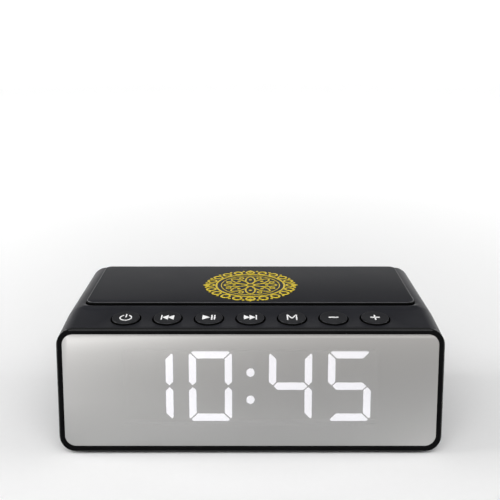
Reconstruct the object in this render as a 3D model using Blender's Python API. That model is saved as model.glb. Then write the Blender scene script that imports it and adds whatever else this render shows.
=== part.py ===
"""Azan clock: a mirror-faced desk clock with a speaker, seven keys and a badge on its top panel.

Metres, +Z up. The front face looks along -Y, X runs across the face, and the feet stand on
z = 0. The origin is below the middle of the case. Sizes named ..._distance are measured
backwards from the plane of the front face, and sizes named ..._depth inwards from a surface.
"""

import math

import bmesh
import bpy
from mathutils import Matrix, Vector

# Case
CASE_WIDTH = 0.160
CASE_DEPTH = 0.0795
FRONT_HEIGHT = 0.0534
DECK_RISE = 0.0017
LIP_DISTANCE = 0.0214
CORNER_RADIUS = 0.0070
WALL = 0.0020
REBATE_WALL = 0.0012
REBATE_RUNOUT = 0.0004
SEAM_ABOVE_CORNER = 0.0006
REAR_EDGE_ROUNDING = 0.0010
CLEARANCE = 0.0003
OVERRUN = 0.0040
MERGED = 0.0005

# Feet
FOOT_PROUD = 0.0015
FOOT_RADIUS = 0.0060
FOOT_POCKET_DEPTH = 0.0008
FOOT_EDGE = 0.0004
FOOT_SIDE_INSET = 0.0200
FOOT_END_INSET = 0.0120

# Front ring, mirror lens and tape
RIM_WIDTH = 0.0024
RIM_DEPTH = 0.0015
RIM_ROUNDING = 0.0010
RIM_CHAMFER = 0.0004
LENS_SETBACK = 0.0004
LENS_THICKNESS = 0.0012
LENS_TAPE_THICKNESS = 0.0003
LEDGE_WIDTH = 0.0020
LEDGE_THICKNESS = 0.0010

# Digits behind the lens
DIGIT_TOP_MARGIN = 0.0104
DIGIT_BOTTOM_MARGIN = 0.0124
DIGIT_WIDTH = 0.0179
STROKE = 0.0030
STROKE_GAP = 0.00075
CORNER_CUT = 0.0011
INNER_DIGIT_X = 0.01665
DIGIT_PITCH = 0.02455
COLON_DOT_RADIUS = 0.0017
COLON_DOT_RISE = 0.0060
SEGMENT_THICKNESS = 0.0013
SHEET_THICKNESS = 0.0006

# Display module
MODULE_SIDE_BORDER = 0.00485
MODULE_BORDER = 0.0012
MODULE_RIM = 0.0008
MODULE_DEPTH = 0.0090
MODULE_FLANGE_THICKNESS = 0.0012
DISPLAY_BOARD_INSET = 0.0020
DISPLAY_SCREW_INSET = 0.0060

# Top panel, its tape and its badge
PANEL_SIDE_INSET = 0.0075
PANEL_FRONT_DISTANCE = 0.0242
PANEL_BACK_INSET = 0.0027
PANEL_THICKNESS = 0.0014
PANEL_PROUD = 0.0013
PANEL_FRONT_RADIUS = 0.0042
PANEL_BACK_RADIUS = 0.0030
PANEL_EDGE = 0.0003
PANEL_TAPE_THICKNESS = 0.0002
PANEL_TAPE_INSET = 0.0020
PANEL_SIDE_GAP = 0.0004
TROUGH_WIDTH = 0.0022
BADGE_FRONT_INSET = 0.0008
BADGE_BACK_INSET = 0.0076
BADGE_THICKNESS = 0.0004
BADGE_PROUD = 0.0002
BADGE_LOBES = 16
BADGE_LOBE_DEPTH_SHARE = 0.059
BADGE_TIP_SHARE = 0.063
BADGE_EYE_SHARE = 0.059
BADGE_EYE_RING_SHARE = 0.796
BADGE_EYE_SIDES = 8
BADGE_SLOT_RING_SHARE = 0.606
BADGE_SLOT_WIDTH_SHARE = 0.054
BADGE_SLOT_LENGTH_SHARE = 0.4
BADGE_SLOTS = 8
BADGE_PETALS = 8
BADGE_PETAL_SIDES = 8
BADGE_PETAL_RING_SHARE = 0.339
BADGE_PETAL_LENGTH_SHARE = 0.317
BADGE_PETAL_WIDTH_SHARE = 0.136

# Keys
KEY_NAMES = ("power", "previous", "play_pause", "next", "mode", "minus", "plus")
KEY_ROW_INSET = 0.0275
KEY_ROW_DISTANCE = 0.0101
KEY_HOLE_RADIUS = 0.00645
KEY_RADIUS = 0.0060
KEY_PROUD = 0.0002
KEY_EDGE = 0.0004
KEY_SKIRT = 0.0002
KEY_TRAVEL = 0.0006
KEY_EAR_BITE_SHARE = 0.41
KEY_EAR_WIDTH = 0.0030
KEY_EAR_THICKNESS = 0.0008
STEM_RADIUS = 0.0018
STEM_LENGTH = 0.0022

# Switches and the key board
SWITCH_SIZE = 0.0060
SWITCH_HEIGHT = 0.0030
SWITCH_SETBACK = 0.0010
BOARD_THICKNESS = 0.0012
KEY_BOARD_END_MARGIN = 0.0120
KEY_BOARD_FRONT = 0.0056
KEY_BOARD_BACK = 0.0086
KEY_BOSS_RADIUS = 0.0022
KEY_BOSS_OFFSET = 0.0062

# Screws
SMALL_SHANK_RADIUS = 0.0008
SMALL_HEAD_RADIUS = 0.0018
SMALL_HEAD_HEIGHT = 0.0010
SMALL_SCREW_LENGTH = 0.0048
LARGE_SHANK_RADIUS = 0.0012
LARGE_HEAD_RADIUS = 0.0024
LARGE_HEAD_HEIGHT = 0.0014
LARGE_SCREW_LENGTH = 0.0100

# Posts and bosses that the large screws bite into
POST_RADIUS = 0.0030
POST_SIDE_INSET = 0.0100
POST_FRONT_DISTANCE = 0.0240
POST_BACK_INSET = 0.0195
POST_RIB_THICKNESS = 0.0015
SOCKET_RADIUS = 0.0042
SOCKET_HEIGHT = 0.0030
COUNTERBORE_DEPTH = 0.0022

# Rear panel
REAR_RECESS = 0.0018
REAR_THICKNESS = 0.0020
REAR_SCREW_INSET = 0.0100
REAR_SCREW_TOP_INSET = 0.0096
REAR_SCREW_LOW = 0.0050
REAR_BOSS_WIDTH = 0.0080
REAR_BOSS_HEIGHT = 0.0060
REAR_BOSS_LENGTH = 0.0070

# Loudspeaker
SPEAKER_SIDE_INSET = 0.0460
SPEAKER_SIZE = 0.0400
SPEAKER_CORNER = 0.0035
SPEAKER_SCREW_INSET = 0.0030
SPEAKER_FLANGE = 0.0012
SPEAKER_BOSS_RADIUS = 0.0022
GRILLE_SETBACK = 0.0003
GRILLE_FLANGE_WIDTH = 0.0020
GRILLE_FLANGE_THICKNESS = 0.0008
GRILLE_SLOT_WIDTH = 0.0018
GRILLE_SLOT_PITCH = 0.0032
GRILLE_SLOT_BORDER = 0.0025
GASKET_WIDTH = 0.0020
GASKET_THICKNESS = 0.0015
BASKET_INSET = 0.0018
BASKET_LIP = 0.0016
BASKET_WALL = 0.0010
BASKET_SHOULDER_DEPTH = 0.0025
BASKET_DEPTH = 0.0090
BASKET_FLOOR_RADIUS = 0.0120
BASKET_THROAT_RADIUS = 0.0062
MAGNET_RADIUS = 0.0120
MAGNET_HEIGHT = 0.0060
MAGNET_FLOOR = 0.0015
MAGNET_GAP_RADIUS = 0.0060
POLE_RADIUS = 0.0039
COIL_INNER_RADIUS = 0.0043
COIL_OUTER_RADIUS = 0.0054
COIL_LENGTH = 0.0058
CONE_NECK_RADIUS = 0.0044
CONE_DEPTH = 0.0044
CONE_THICKNESS = 0.0005
CONE_SETBACK = 0.0004
DOME_RADIUS = 0.0060
DOME_HEIGHT = 0.0020
DOME_THICKNESS = 0.0004
ROLL_THICKNESS = 0.0004
ROLL_HEIGHT = 0.0010
ROLL_WIDTH = 0.0034
SURROUND_LIP = 0.0008

# Main board and what stands on it
STANDOFF_HEIGHT = 0.0040
STANDOFF_RADIUS = 0.0024
MAIN_BOARD_CELL_GAP = 0.0025
MAIN_BOARD_SIDE_INSET = 0.0160
MAIN_BOARD_FRONT_DISTANCE = 0.0300
MAIN_SCREW_INSET = 0.0040
USB_SHARE = 0.25
USB_WIDTH = 0.0090
USB_HEIGHT = 0.0032
USB_LENGTH = 0.0073
USB_WALL = 0.0003
TONGUE_WIDTH = 0.0067
TONGUE_THICKNESS = 0.0007
AUX_SHARE = 0.50
AUX_BODY_WIDTH = 0.0064
AUX_BODY_HEIGHT = 0.0060
AUX_BODY_LENGTH = 0.0115
AUX_NOSE_RADIUS = 0.0028
AUX_NOSE_LENGTH = 0.0018
AUX_BORE_RADIUS = 0.0018
AUX_BORE_DEPTH = 0.0105
CARD_SHARE = 0.80
CARD_WIDTH = 0.0130
CARD_LENGTH = 0.0145
CARD_HEIGHT = 0.0019
CARD_WALL = 0.0004
PORT_MARGIN = 0.0004
CHIP_ROW_SHARES = (0.20, 0.40, 0.60)
CHIP_ROW_GAP = 0.0007
CHIP_SIZE = 0.0070
CHIP_HEIGHT = 0.0010
RADIO_WIDTH = 0.0120
RADIO_LENGTH = 0.0150
RADIO_HEIGHT = 0.0020
AMPLIFIER_WIDTH = 0.0040
AMPLIFIER_LENGTH = 0.0050
AMPLIFIER_HEIGHT = 0.0015
INDUCTOR_SIZE = 0.0050
INDUCTOR_HEIGHT = 0.0030
CAPACITOR_RADIUS = 0.0025
CAPACITOR_HEIGHT = 0.0070
LEAD_PLUG_SIZE = 0.0050
LEAD_PLUG_HEIGHT = 0.0045
RIBBON_SOCKET_WIDTH = 0.0120
RIBBON_SOCKET_LENGTH = 0.0040
RIBBON_SOCKET_HEIGHT = 0.0020
RIBBON_SHARES = (0.34, 0.66)
PLUG_PITCH = 0.0140
PLUG_FRONT_OFFSET = 0.0140

# Battery
CELL_RADIUS = 0.0092
CELL_LENGTH = 0.0650
CELL_EDGE = 0.0008
CELL_DISTANCE = 0.0290
CELL_NUB_RADIUS = 0.0030
CELL_NUB_HEIGHT = 0.0010
CELL_LIFT = 0.0006
CRADLE_END_INSET = 0.0105
CRADLE_THICKNESS = 0.0020
CRADLE_WIDTH = 0.0160
CRADLE_HEIGHT = 0.0065

# Leads and ribbons
LEAD_RADIUS = 0.0010
LEAD_SWAY = 0.0040
LEAD_TAB_ANGLE = math.radians(40)
RIBBON_WIDTH = 0.0080
RIBBON_THICKNESS = 0.0003
RIBBON_BEND = 0.0030

# Fineness of the round shapes
CORNER_STEPS = 6
EDGE_STEPS = 2
FINE_SIDES = 28
ROUND_SIDES = 20
SMALL_SIDES = 12
SHARP_ANGLE = math.radians(28)

# Places that follow from the sizes above
HALF_WIDTH = CASE_WIDTH / 2
FRONT_Y = -CASE_DEPTH / 2
BACK_Y = CASE_DEPTH / 2
UNDERSIDE = FOOT_PROUD
FLOOR_TOP = UNDERSIDE + WALL
FRONT_TOP = UNDERSIDE + FRONT_HEIGHT
LIP_TOP = FRONT_TOP + DECK_RISE
SEAM_Z = UNDERSIDE + CORNER_RADIUS + SEAM_ABOVE_CORNER
RIM_BACK = RIM_DEPTH + CLEARANCE
LENS_BACK = LENS_SETBACK + LENS_THICKNESS
TAPE_FRONT = LENS_BACK + CLEARANCE
LEDGE_FRONT = TAPE_FRONT + LENS_TAPE_THICKNESS + CLEARANCE
LEDGE_BACK = LEDGE_FRONT + LEDGE_THICKNESS
SPIGOT_INSET = REBATE_WALL + CLEARANCE
LEDGE_INSET = RIM_WIDTH + LEDGE_WIDTH
DECK_ANGLE = math.atan2(DECK_RISE, LIP_DISTANCE - RIM_BACK)
KEY_PITCH = (CASE_WIDTH - 2 * KEY_ROW_INSET) / (len(KEY_NAMES) - 1)
KEY_EAR_TIP = KEY_HOLE_RADIUS + (KEY_PITCH / 2 - KEY_HOLE_RADIUS) * KEY_EAR_BITE_SHARE
KEY_ROW_Z = FRONT_TOP + (KEY_ROW_DISTANCE - RIM_BACK) * math.tan(DECK_ANGLE)
DIGIT_HEIGHT = FRONT_HEIGHT - DIGIT_TOP_MARGIN - DIGIT_BOTTOM_MARGIN
DIGIT_Z = UNDERSIDE + DIGIT_BOTTOM_MARGIN + DIGIT_HEIGHT / 2
OUTER_DIGIT_X = INNER_DIGIT_X + DIGIT_PITCH
MODULE_WIDTH = 2 * (OUTER_DIGIT_X + DIGIT_WIDTH / 2 + MODULE_SIDE_BORDER)
MODULE_FRONT = LENS_BACK + CLEARANCE
MODULE_BACK = MODULE_FRONT + MODULE_DEPTH
MODULE_HALF_HEIGHT = DIGIT_HEIGHT / 2 + MODULE_BORDER
POCKET_FLOOR = MODULE_FRONT + SEGMENT_THICKNESS + SHEET_THICKNESS + CLEARANCE
FLANGE_FRONT = LEDGE_BACK + CLEARANCE
DISPLAY_BOARD_FRONT = MODULE_BACK + CLEARANCE
DISPLAY_BOARD_BACK = DISPLAY_BOARD_FRONT + BOARD_THICKNESS
PANEL_TOP = LIP_TOP + PANEL_PROUD
PANEL_BOTTOM = PANEL_TOP - PANEL_THICKNESS
PANEL_TAPE_TOP = PANEL_BOTTOM - CLEARANCE
RECESS_FLOOR = PANEL_TAPE_TOP - PANEL_TAPE_THICKNESS - CLEARANCE
PANEL_HALF_WIDTH = HALF_WIDTH - PANEL_SIDE_INSET
PANEL_BACK_DISTANCE = CASE_DEPTH - PANEL_BACK_INSET
TROUGH_FRONT = PANEL_FRONT_DISTANCE - TROUGH_WIDTH
BADGE_ROOM = PANEL_BACK_DISTANCE - PANEL_FRONT_DISTANCE
BADGE_RADIUS = (BADGE_ROOM - BADGE_FRONT_INSET - BADGE_BACK_INSET) / 2
BADGE_TIP_LENGTH = BADGE_RADIUS * BADGE_TIP_SHARE
BADGE_LOBE_DEPTH = BADGE_RADIUS * BADGE_LOBE_DEPTH_SHARE
BADGE_EYE_RADIUS = BADGE_RADIUS * BADGE_EYE_SHARE
BADGE_EYE_RING = BADGE_RADIUS * BADGE_EYE_RING_SHARE
BADGE_SLOT_RING = BADGE_RADIUS * BADGE_SLOT_RING_SHARE
BADGE_SLOT_WIDTH = BADGE_RADIUS * BADGE_SLOT_WIDTH_SHARE
BADGE_PETAL_RING = BADGE_RADIUS * BADGE_PETAL_RING_SHARE
BADGE_PETAL_LENGTH = BADGE_RADIUS * BADGE_PETAL_LENGTH_SHARE
BADGE_PETAL_WIDTH = BADGE_RADIUS * BADGE_PETAL_WIDTH_SHARE
BADGE_Y = FRONT_Y + PANEL_FRONT_DISTANCE + BADGE_FRONT_INSET + BADGE_RADIUS
KEY_TOP_W = KEY_PROUD
EAR_TOP_W = -WALL - CLEARANCE
KEY_BOTTOM_W = EAR_TOP_W - KEY_EAR_THICKNESS - KEY_SKIRT
STEM_BOTTOM_W = KEY_BOTTOM_W - STEM_LENGTH
SWITCH_TOP_W = KEY_BOTTOM_W - SWITCH_SETBACK
SWITCH_BORE_W = STEM_BOTTOM_W - KEY_TRAVEL - CLEARANCE
KEY_BOARD_TOP_W = SWITCH_TOP_W - SWITCH_HEIGHT
KEY_BOSS_BOTTOM_W = KEY_BOARD_TOP_W + CLEARANCE
KEY_BOARD_BOTTOM_W = KEY_BOARD_TOP_W - BOARD_THICKNESS
REAR_OUTER_Y = BACK_Y - REAR_RECESS
REAR_INNER_Y = REAR_OUTER_Y - REAR_THICKNESS
REAR_INSET = WALL + CLEARANCE
SPEAKER_X = SPEAKER_SIDE_INSET - HALF_WIDTH
SPEAKER_Z = (UNDERSIDE + LIP_TOP) / 2
SPEAKER_SCREW_SPREAD = SPEAKER_SIZE / 2 - SPEAKER_SCREW_INSET
GRILLE_FLANGE_RADIUS = SPEAKER_SIZE / 2
GRILLE_OPENING_RADIUS = GRILLE_FLANGE_RADIUS - GRILLE_FLANGE_WIDTH
GRILLE_SLOT_REACH = GRILLE_OPENING_RADIUS - GRILLE_SLOT_BORDER
GRILLE_SIDE_SLOTS = int((GRILLE_SLOT_REACH - GRILLE_SLOT_WIDTH / 2) / GRILLE_SLOT_PITCH)
BASKET_RADIUS = SPEAKER_SIZE / 2 - BASKET_INSET
BASKET_OPENING_RADIUS = BASKET_RADIUS - BASKET_LIP
CONE_RADIUS = BASKET_OPENING_RADIUS - ROLL_WIDTH
GRILLE_BACK = CLEARANCE + GRILLE_FLANGE_THICKNESS
GASKET_FRONT = GRILLE_BACK + CLEARANCE
SPEAKER_FACE = GASKET_FRONT + GASKET_THICKNESS + CLEARANCE
SPEAKER_FLANGE_BACK = SPEAKER_FACE + SPEAKER_FLANGE
BASKET_FLOOR = SPEAKER_FACE + BASKET_DEPTH
BASKET_BACK = BASKET_FLOOR + BASKET_WALL
MAGNET_FACE = BASKET_BACK + CLEARANCE
MAGNET_BACK = MAGNET_FACE + MAGNET_HEIGHT
CONE_FRONT = SPEAKER_FACE + CONE_SETBACK
CONE_NECK = CONE_FRONT + CONE_DEPTH
COIL_FRONT = CONE_NECK + CONE_THICKNESS + CLEARANCE
MAIN_BOARD_BOTTOM = FLOOR_TOP + STANDOFF_HEIGHT + CLEARANCE
MAIN_BOARD_TOP = MAIN_BOARD_BOTTOM + BOARD_THICKNESS
ON_BOARD = MAIN_BOARD_TOP + CLEARANCE
MAIN_BOARD_FRONT = FRONT_Y + MAIN_BOARD_FRONT_DISTANCE
MAIN_BOARD_BACK = REAR_INNER_Y - CLEARANCE
PORT_Y = REAR_INNER_Y - CLEARANCE
POST_X = HALF_WIDTH - POST_SIDE_INSET
POST_BOTTOM = FLOOR_TOP + SOCKET_HEIGHT + CLEARANCE
REAR_SCREW_X = HALF_WIDTH - REAR_SCREW_INSET
REAR_SCREW_ZS = (UNDERSIDE + REAR_SCREW_LOW, LIP_TOP - REAR_SCREW_TOP_INSET)
CELL_X = SOCKET_RADIUS + CLEARANCE + CELL_LENGTH / 2 - POST_X
CELL_Z = FLOOR_TOP + CELL_LIFT + CLEARANCE + CELL_RADIUS
CELL_Y = FRONT_Y + CELL_DISTANCE
CRADLE_SPREAD = CELL_LENGTH / 2 - CRADLE_END_INSET
MAIN_BOARD_LEFT = CELL_X + CELL_LENGTH / 2 + MAIN_BOARD_CELL_GAP
MAIN_BOARD_RIGHT = HALF_WIDTH - MAIN_BOARD_SIDE_INSET
MAIN_BOARD_WIDTH = MAIN_BOARD_RIGHT - MAIN_BOARD_LEFT
USB_X = MAIN_BOARD_LEFT + MAIN_BOARD_WIDTH * USB_SHARE
AUX_X = MAIN_BOARD_LEFT + MAIN_BOARD_WIDTH * AUX_SHARE
CARD_X = MAIN_BOARD_LEFT + MAIN_BOARD_WIDTH * CARD_SHARE
CHIP_ROW_Y = PORT_Y - CARD_LENGTH - CHIP_ROW_GAP - RADIO_LENGTH / 2

ALONG_Y = Matrix.Rotation(-math.pi / 2, 4, "X")
AGAINST_Y = Matrix.Rotation(math.pi / 2, 4, "X")
ALONG_X = Matrix.Rotation(math.pi / 2, 4, "Y")
DOWNWARDS = Matrix.Rotation(math.pi, 4, "X")


def clear_scene():
    """Takes every object out of the file, so that the clock is built in an empty one."""
    for item in list(bpy.data.objects):
        bpy.data.objects.remove(item, do_unlink=True)


def surface(name, colour, roughness, metallic=0.0, glow=0.0, alpha=1.0):
    """Makes a material for one kind of piece."""
    material = bpy.data.materials.new(name)
    material.use_nodes = True
    shader = material.node_tree.nodes["Principled BSDF"]
    shader.inputs["Base Color"].default_value = (*colour, 1.0)
    shader.inputs["Roughness"].default_value = roughness
    shader.inputs["Metallic"].default_value = metallic
    shader.inputs["Alpha"].default_value = alpha
    shader.inputs["Emission Color"].default_value = (*colour, 1.0)
    shader.inputs["Emission Strength"].default_value = glow
    material.diffuse_color = (*colour, alpha)
    return material


def guide(name, parent=None, location=(0, 0, 0), tilt=0):
    """Adds an empty that pieces are placed by."""
    empty = bpy.data.objects.new(name, None)
    bpy.context.scene.collection.objects.link(empty)
    empty.parent = parent
    empty.location = location
    empty.rotation_euler = (tilt, 0, 0)
    return empty


def finished_mesh(name, shape, material):
    """Turns a finished shape into a mesh with smooth round faces."""
    bmesh.ops.recalc_face_normals(shape, faces=shape.faces)
    mesh = bpy.data.meshes.new(name)
    shape.to_mesh(mesh)
    shape.free()
    mesh.materials.append(material)
    mesh.shade_smooth()
    mesh.set_sharp_from_angle(angle=SHARP_ANGLE)
    return mesh


def place_mesh(name, mesh, parent=None, place=None):
    """Adds a named piece that shows the mesh."""
    piece = bpy.data.objects.new(name, mesh)
    bpy.context.scene.collection.objects.link(piece)
    piece.parent = parent
    piece.matrix_local = place or Matrix.Identity(4)
    return piece


def set_copies(name, mesh, places, parent=None):
    """Adds a numbered piece for each place, all with the same mesh."""
    for i, place in enumerate(places):
        place_mesh(f"{name}_{i + 1}", mesh, parent, place)


def add_piece(name, shape, material, parent=None):
    """Turns a finished shape into a named piece."""
    return place_mesh(name, finished_mesh(name, shape, material), parent)


def shape_tool(piece, shape, operation, parent=None):
    """Adds a hidden shape that a Boolean modifier cuts from the piece or joins to it."""
    name = f"{piece.name}_{operation.lower()}_{len(piece.modifiers)}"
    tool = add_piece(name, shape, piece.data.materials[0], parent or piece.parent)
    tool.hide_render = True
    tool.display_type = "WIRE"
    modifier = piece.modifiers.new(name, "BOOLEAN")
    modifier.operation = operation
    modifier.object = tool
    modifier.solver = "EXACT"
    modifier.use_self = True


def cut(piece, shape, parent=None):
    """Cuts the shape out of the piece."""
    shape_tool(piece, shape, "DIFFERENCE", parent)


def join(piece, shape, parent=None):
    """Joins the shape to the piece."""
    shape_tool(piece, shape, "UNION", parent)


def loft(shape, rings, looped=False):
    """Skins a row of rings of equal length, with an end face on the first and last unless looped."""
    rows = [[shape.verts.new(point) for point in ring] for ring in rings]
    pairs = list(zip(rows, rows[1:]))
    if looped:
        pairs.append((rows[-1], rows[0]))
    for near, far in pairs:
        count = len(near)
        for i in range(count):
            j = (i + 1) % count
            shape.faces.new((near[i], near[j], far[j], far[i]))
    if not looped:
        shape.faces.new(rows[0])
        shape.faces.new(list(reversed(rows[-1])))


def add_box(shape, low, high):
    """Adds a box between its lowest and highest corners."""
    low, high = Vector(low), Vector(high)
    place = Matrix.Translation((low + high) / 2) @ Matrix.Diagonal((*(high - low), 1))
    bmesh.ops.create_cube(shape, size=1, matrix=place)


def turn(shape, profile, place=None, sides=ROUND_SIDES):
    """Turns a closed profile of (radius, height) points about the local Z axis of a place."""
    place = place or Matrix.Identity(4)
    rows = []
    for radius, height in profile:
        if radius <= 0:
            rows.append([shape.verts.new(place @ Vector((0, 0, height)))])
            continue
        angles = [2 * math.pi * i / sides for i in range(sides)]
        ring = [Vector((radius * math.cos(a), radius * math.sin(a), height)) for a in angles]
        rows.append([shape.verts.new(place @ point) for point in ring])
    for near, far in zip(rows, rows[1:] + rows[:1]):
        if len(near) == 1 and len(far) == 1:
            continue
        for i in range(sides):
            j = (i + 1) % sides
            corners = [near[i % len(near)], near[j % len(near)], far[j % len(far)], far[i % len(far)]]
            shape.faces.new(list(dict.fromkeys(corners)))


def rod(shape, place, radius, low, high, sides=SMALL_SIDES):
    """Adds a plain cylinder between two heights on the local Z axis of a place."""
    turn(shape, [(0, low), (radius, low), (radius, high), (0, high)], place, sides)


def screw_mesh(name, material, head_radius, head_height, shank_radius, length):
    """Mesh of a domed screw whose head stands below z = 0 and whose shank runs up from it."""
    shoulder = head_height / 2
    profile = [
        (0, -head_height),
        (head_radius - shoulder, -head_height),
        (head_radius, -shoulder),
        (head_radius, 0),
        (shank_radius, 0),
        (shank_radius, length - shank_radius),
        (0, length),
    ]
    shape = bmesh.new()
    turn(shape, profile, sides=SMALL_SIDES)
    return finished_mesh(name, shape, material)


def small_screws(name, places, material, parent=None):
    """Adds a board screw at each place."""
    sizes = (SMALL_HEAD_RADIUS, SMALL_HEAD_HEIGHT, SMALL_SHANK_RADIUS, SMALL_SCREW_LENGTH)
    set_copies(name, screw_mesh(name, material, *sizes), places, parent)


def large_screws(name, places, material):
    """Adds a case screw at each place."""
    sizes = (LARGE_HEAD_RADIUS, LARGE_HEAD_HEIGHT, LARGE_SHANK_RADIUS, LARGE_SCREW_LENGTH)
    set_copies(name, screw_mesh(name, material, *sizes), places)


def arc(centre, radius, start, end, steps):
    """Points of an arc in a plane, from one angle in degrees to another."""
    angles = [math.radians(start + (end - start) * i / steps) for i in range(steps + 1)]
    return [(centre[0] + radius * math.cos(a), centre[1] + radius * math.sin(a)) for a in angles]


def rounded_outline(low, high, radii, steps=CORNER_STEPS):
    """Outline of a rectangle with round corners: low left, low right, high right, high left."""
    corners = (
        (low[0], low[1], 1, 1, 180),
        (high[0], low[1], -1, 1, 270),
        (high[0], high[1], -1, -1, 0),
        (low[0], high[1], 1, -1, 90),
    )
    outline = []
    for (u, v, du, dv, start), radius in zip(corners, radii):
        outline += arc((u + du * radius, v + dv * radius), radius, start, start + 90, steps)
    return outline


def face_ring(inset, distance, top=None):
    """Ring round the case at an inset from its outer skin, a distance behind the front face."""
    top = FRONT_TOP if top is None else top
    radius = CORNER_RADIUS - inset
    low = (inset - HALF_WIDTH, UNDERSIDE + inset)
    high = (HALF_WIDTH - inset, top - inset)
    y = FRONT_Y + distance
    return [(x, y, z) for x, z in rounded_outline(low, high, (radius,) * 4)]


def shell_ring(edge_z, crown_z, skin_inset, wall, distance):
    """Section of an open shell whose rims stand at edge_z and whose broad wall lies at crown_z."""
    way = 1 if crown_z > edge_z else -1

    def arch(inset):
        half = HALF_WIDTH - inset
        crown = crown_z - way * inset
        radius = CORNER_RADIUS - inset
        left = arc((radius - half, 0), radius, 180, 90, CORNER_STEPS)
        right = arc((half - radius, 0), radius, 90, 0, CORNER_STEPS)
        bend = [(x, crown - way * radius + way * rise) for x, rise in left + right]
        return [(-half, edge_z)] + bend + [(half, edge_z)]

    outline = arch(skin_inset) + arch(wall)[::-1]
    return [(x, FRONT_Y + distance, z) for x, z in outline]


def shell_stations(front_crown, back_crown, lip_crown):
    """Sections of a case shell from its front rim to its rounded rear rim."""
    rebate_end = LEDGE_BACK + CLEARANCE

    def crown_at(distance):
        share = min(1, (distance - RIM_BACK) / (LIP_DISTANCE - RIM_BACK))
        return front_crown + (lip_crown - front_crown) * share

    stations = [
        (RIM_BACK, 0, REBATE_WALL),
        (rebate_end, 0, REBATE_WALL),
        (rebate_end + REBATE_RUNOUT, 0, WALL),
        (LIP_DISTANCE, 0, WALL),
    ]
    sections = [(crown_at(distance), skin, wall, distance) for distance, skin, wall in stations]
    for i in range(EDGE_STEPS + 1):
        angle = math.pi / 2 * i / EDGE_STEPS
        skin = REAR_EDGE_ROUNDING * (1 - math.cos(angle))
        distance = CASE_DEPTH - REAR_EDGE_ROUNDING * (1 - math.sin(angle))
        sections.append((back_crown, skin, WALL, distance))
    return sections


def panel_outline(grow=0.0, front_distance=PANEL_FRONT_DISTANCE):
    """Outline of the top panel seen from above, grown outwards at its sides and back."""
    low = (-PANEL_HALF_WIDTH - grow, FRONT_Y + front_distance)
    high = (PANEL_HALF_WIDTH + grow, FRONT_Y + PANEL_BACK_DISTANCE + grow)
    front = PANEL_FRONT_RADIUS + grow
    back = PANEL_BACK_RADIUS + grow
    return rounded_outline(low, high, (front, front, back, back))


def slab(shape, outline, low, high):
    """Raises an outline in the XY plane into a flat slab."""
    loft(shape, [[(x, y, low) for x, y in outline], [(x, y, high) for x, y in outline]])


def post_places():
    """Feet of the four posts that join the upper shell to the base."""
    ys = (FRONT_Y + POST_FRONT_DISTANCE, BACK_Y - POST_BACK_INSET)
    return [(side * POST_X, y) for side in (-1, 1) for y in ys]


def key_boss_places():
    """Places of the bosses over the key board in the frame of the sloping deck, screwed ones last."""
    screwed = KEY_PITCH * 3 / 2
    outer = KEY_PITCH * len(KEY_NAMES) / 2
    return [(x, KEY_BOSS_OFFSET) for x in (-outer, outer, -screwed, screwed)]


def main_screw_places():
    """Places of the main board's screws: its front left corner, and its right edge by the card slot."""
    front = MAIN_BOARD_FRONT + MAIN_SCREW_INSET
    back = PORT_Y - CARD_LENGTH - MAIN_SCREW_INSET
    return [(MAIN_BOARD_LEFT + MAIN_SCREW_INSET, front), (MAIN_BOARD_RIGHT - MAIN_SCREW_INSET, back)]


def speaker_screw_places():
    """Places of the speaker's screws on the rear panel."""
    spread = (-SPEAKER_SCREW_SPREAD, SPEAKER_SCREW_SPREAD)
    return [(SPEAKER_X + x, SPEAKER_Z + z) for x in spread for z in spread]


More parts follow.
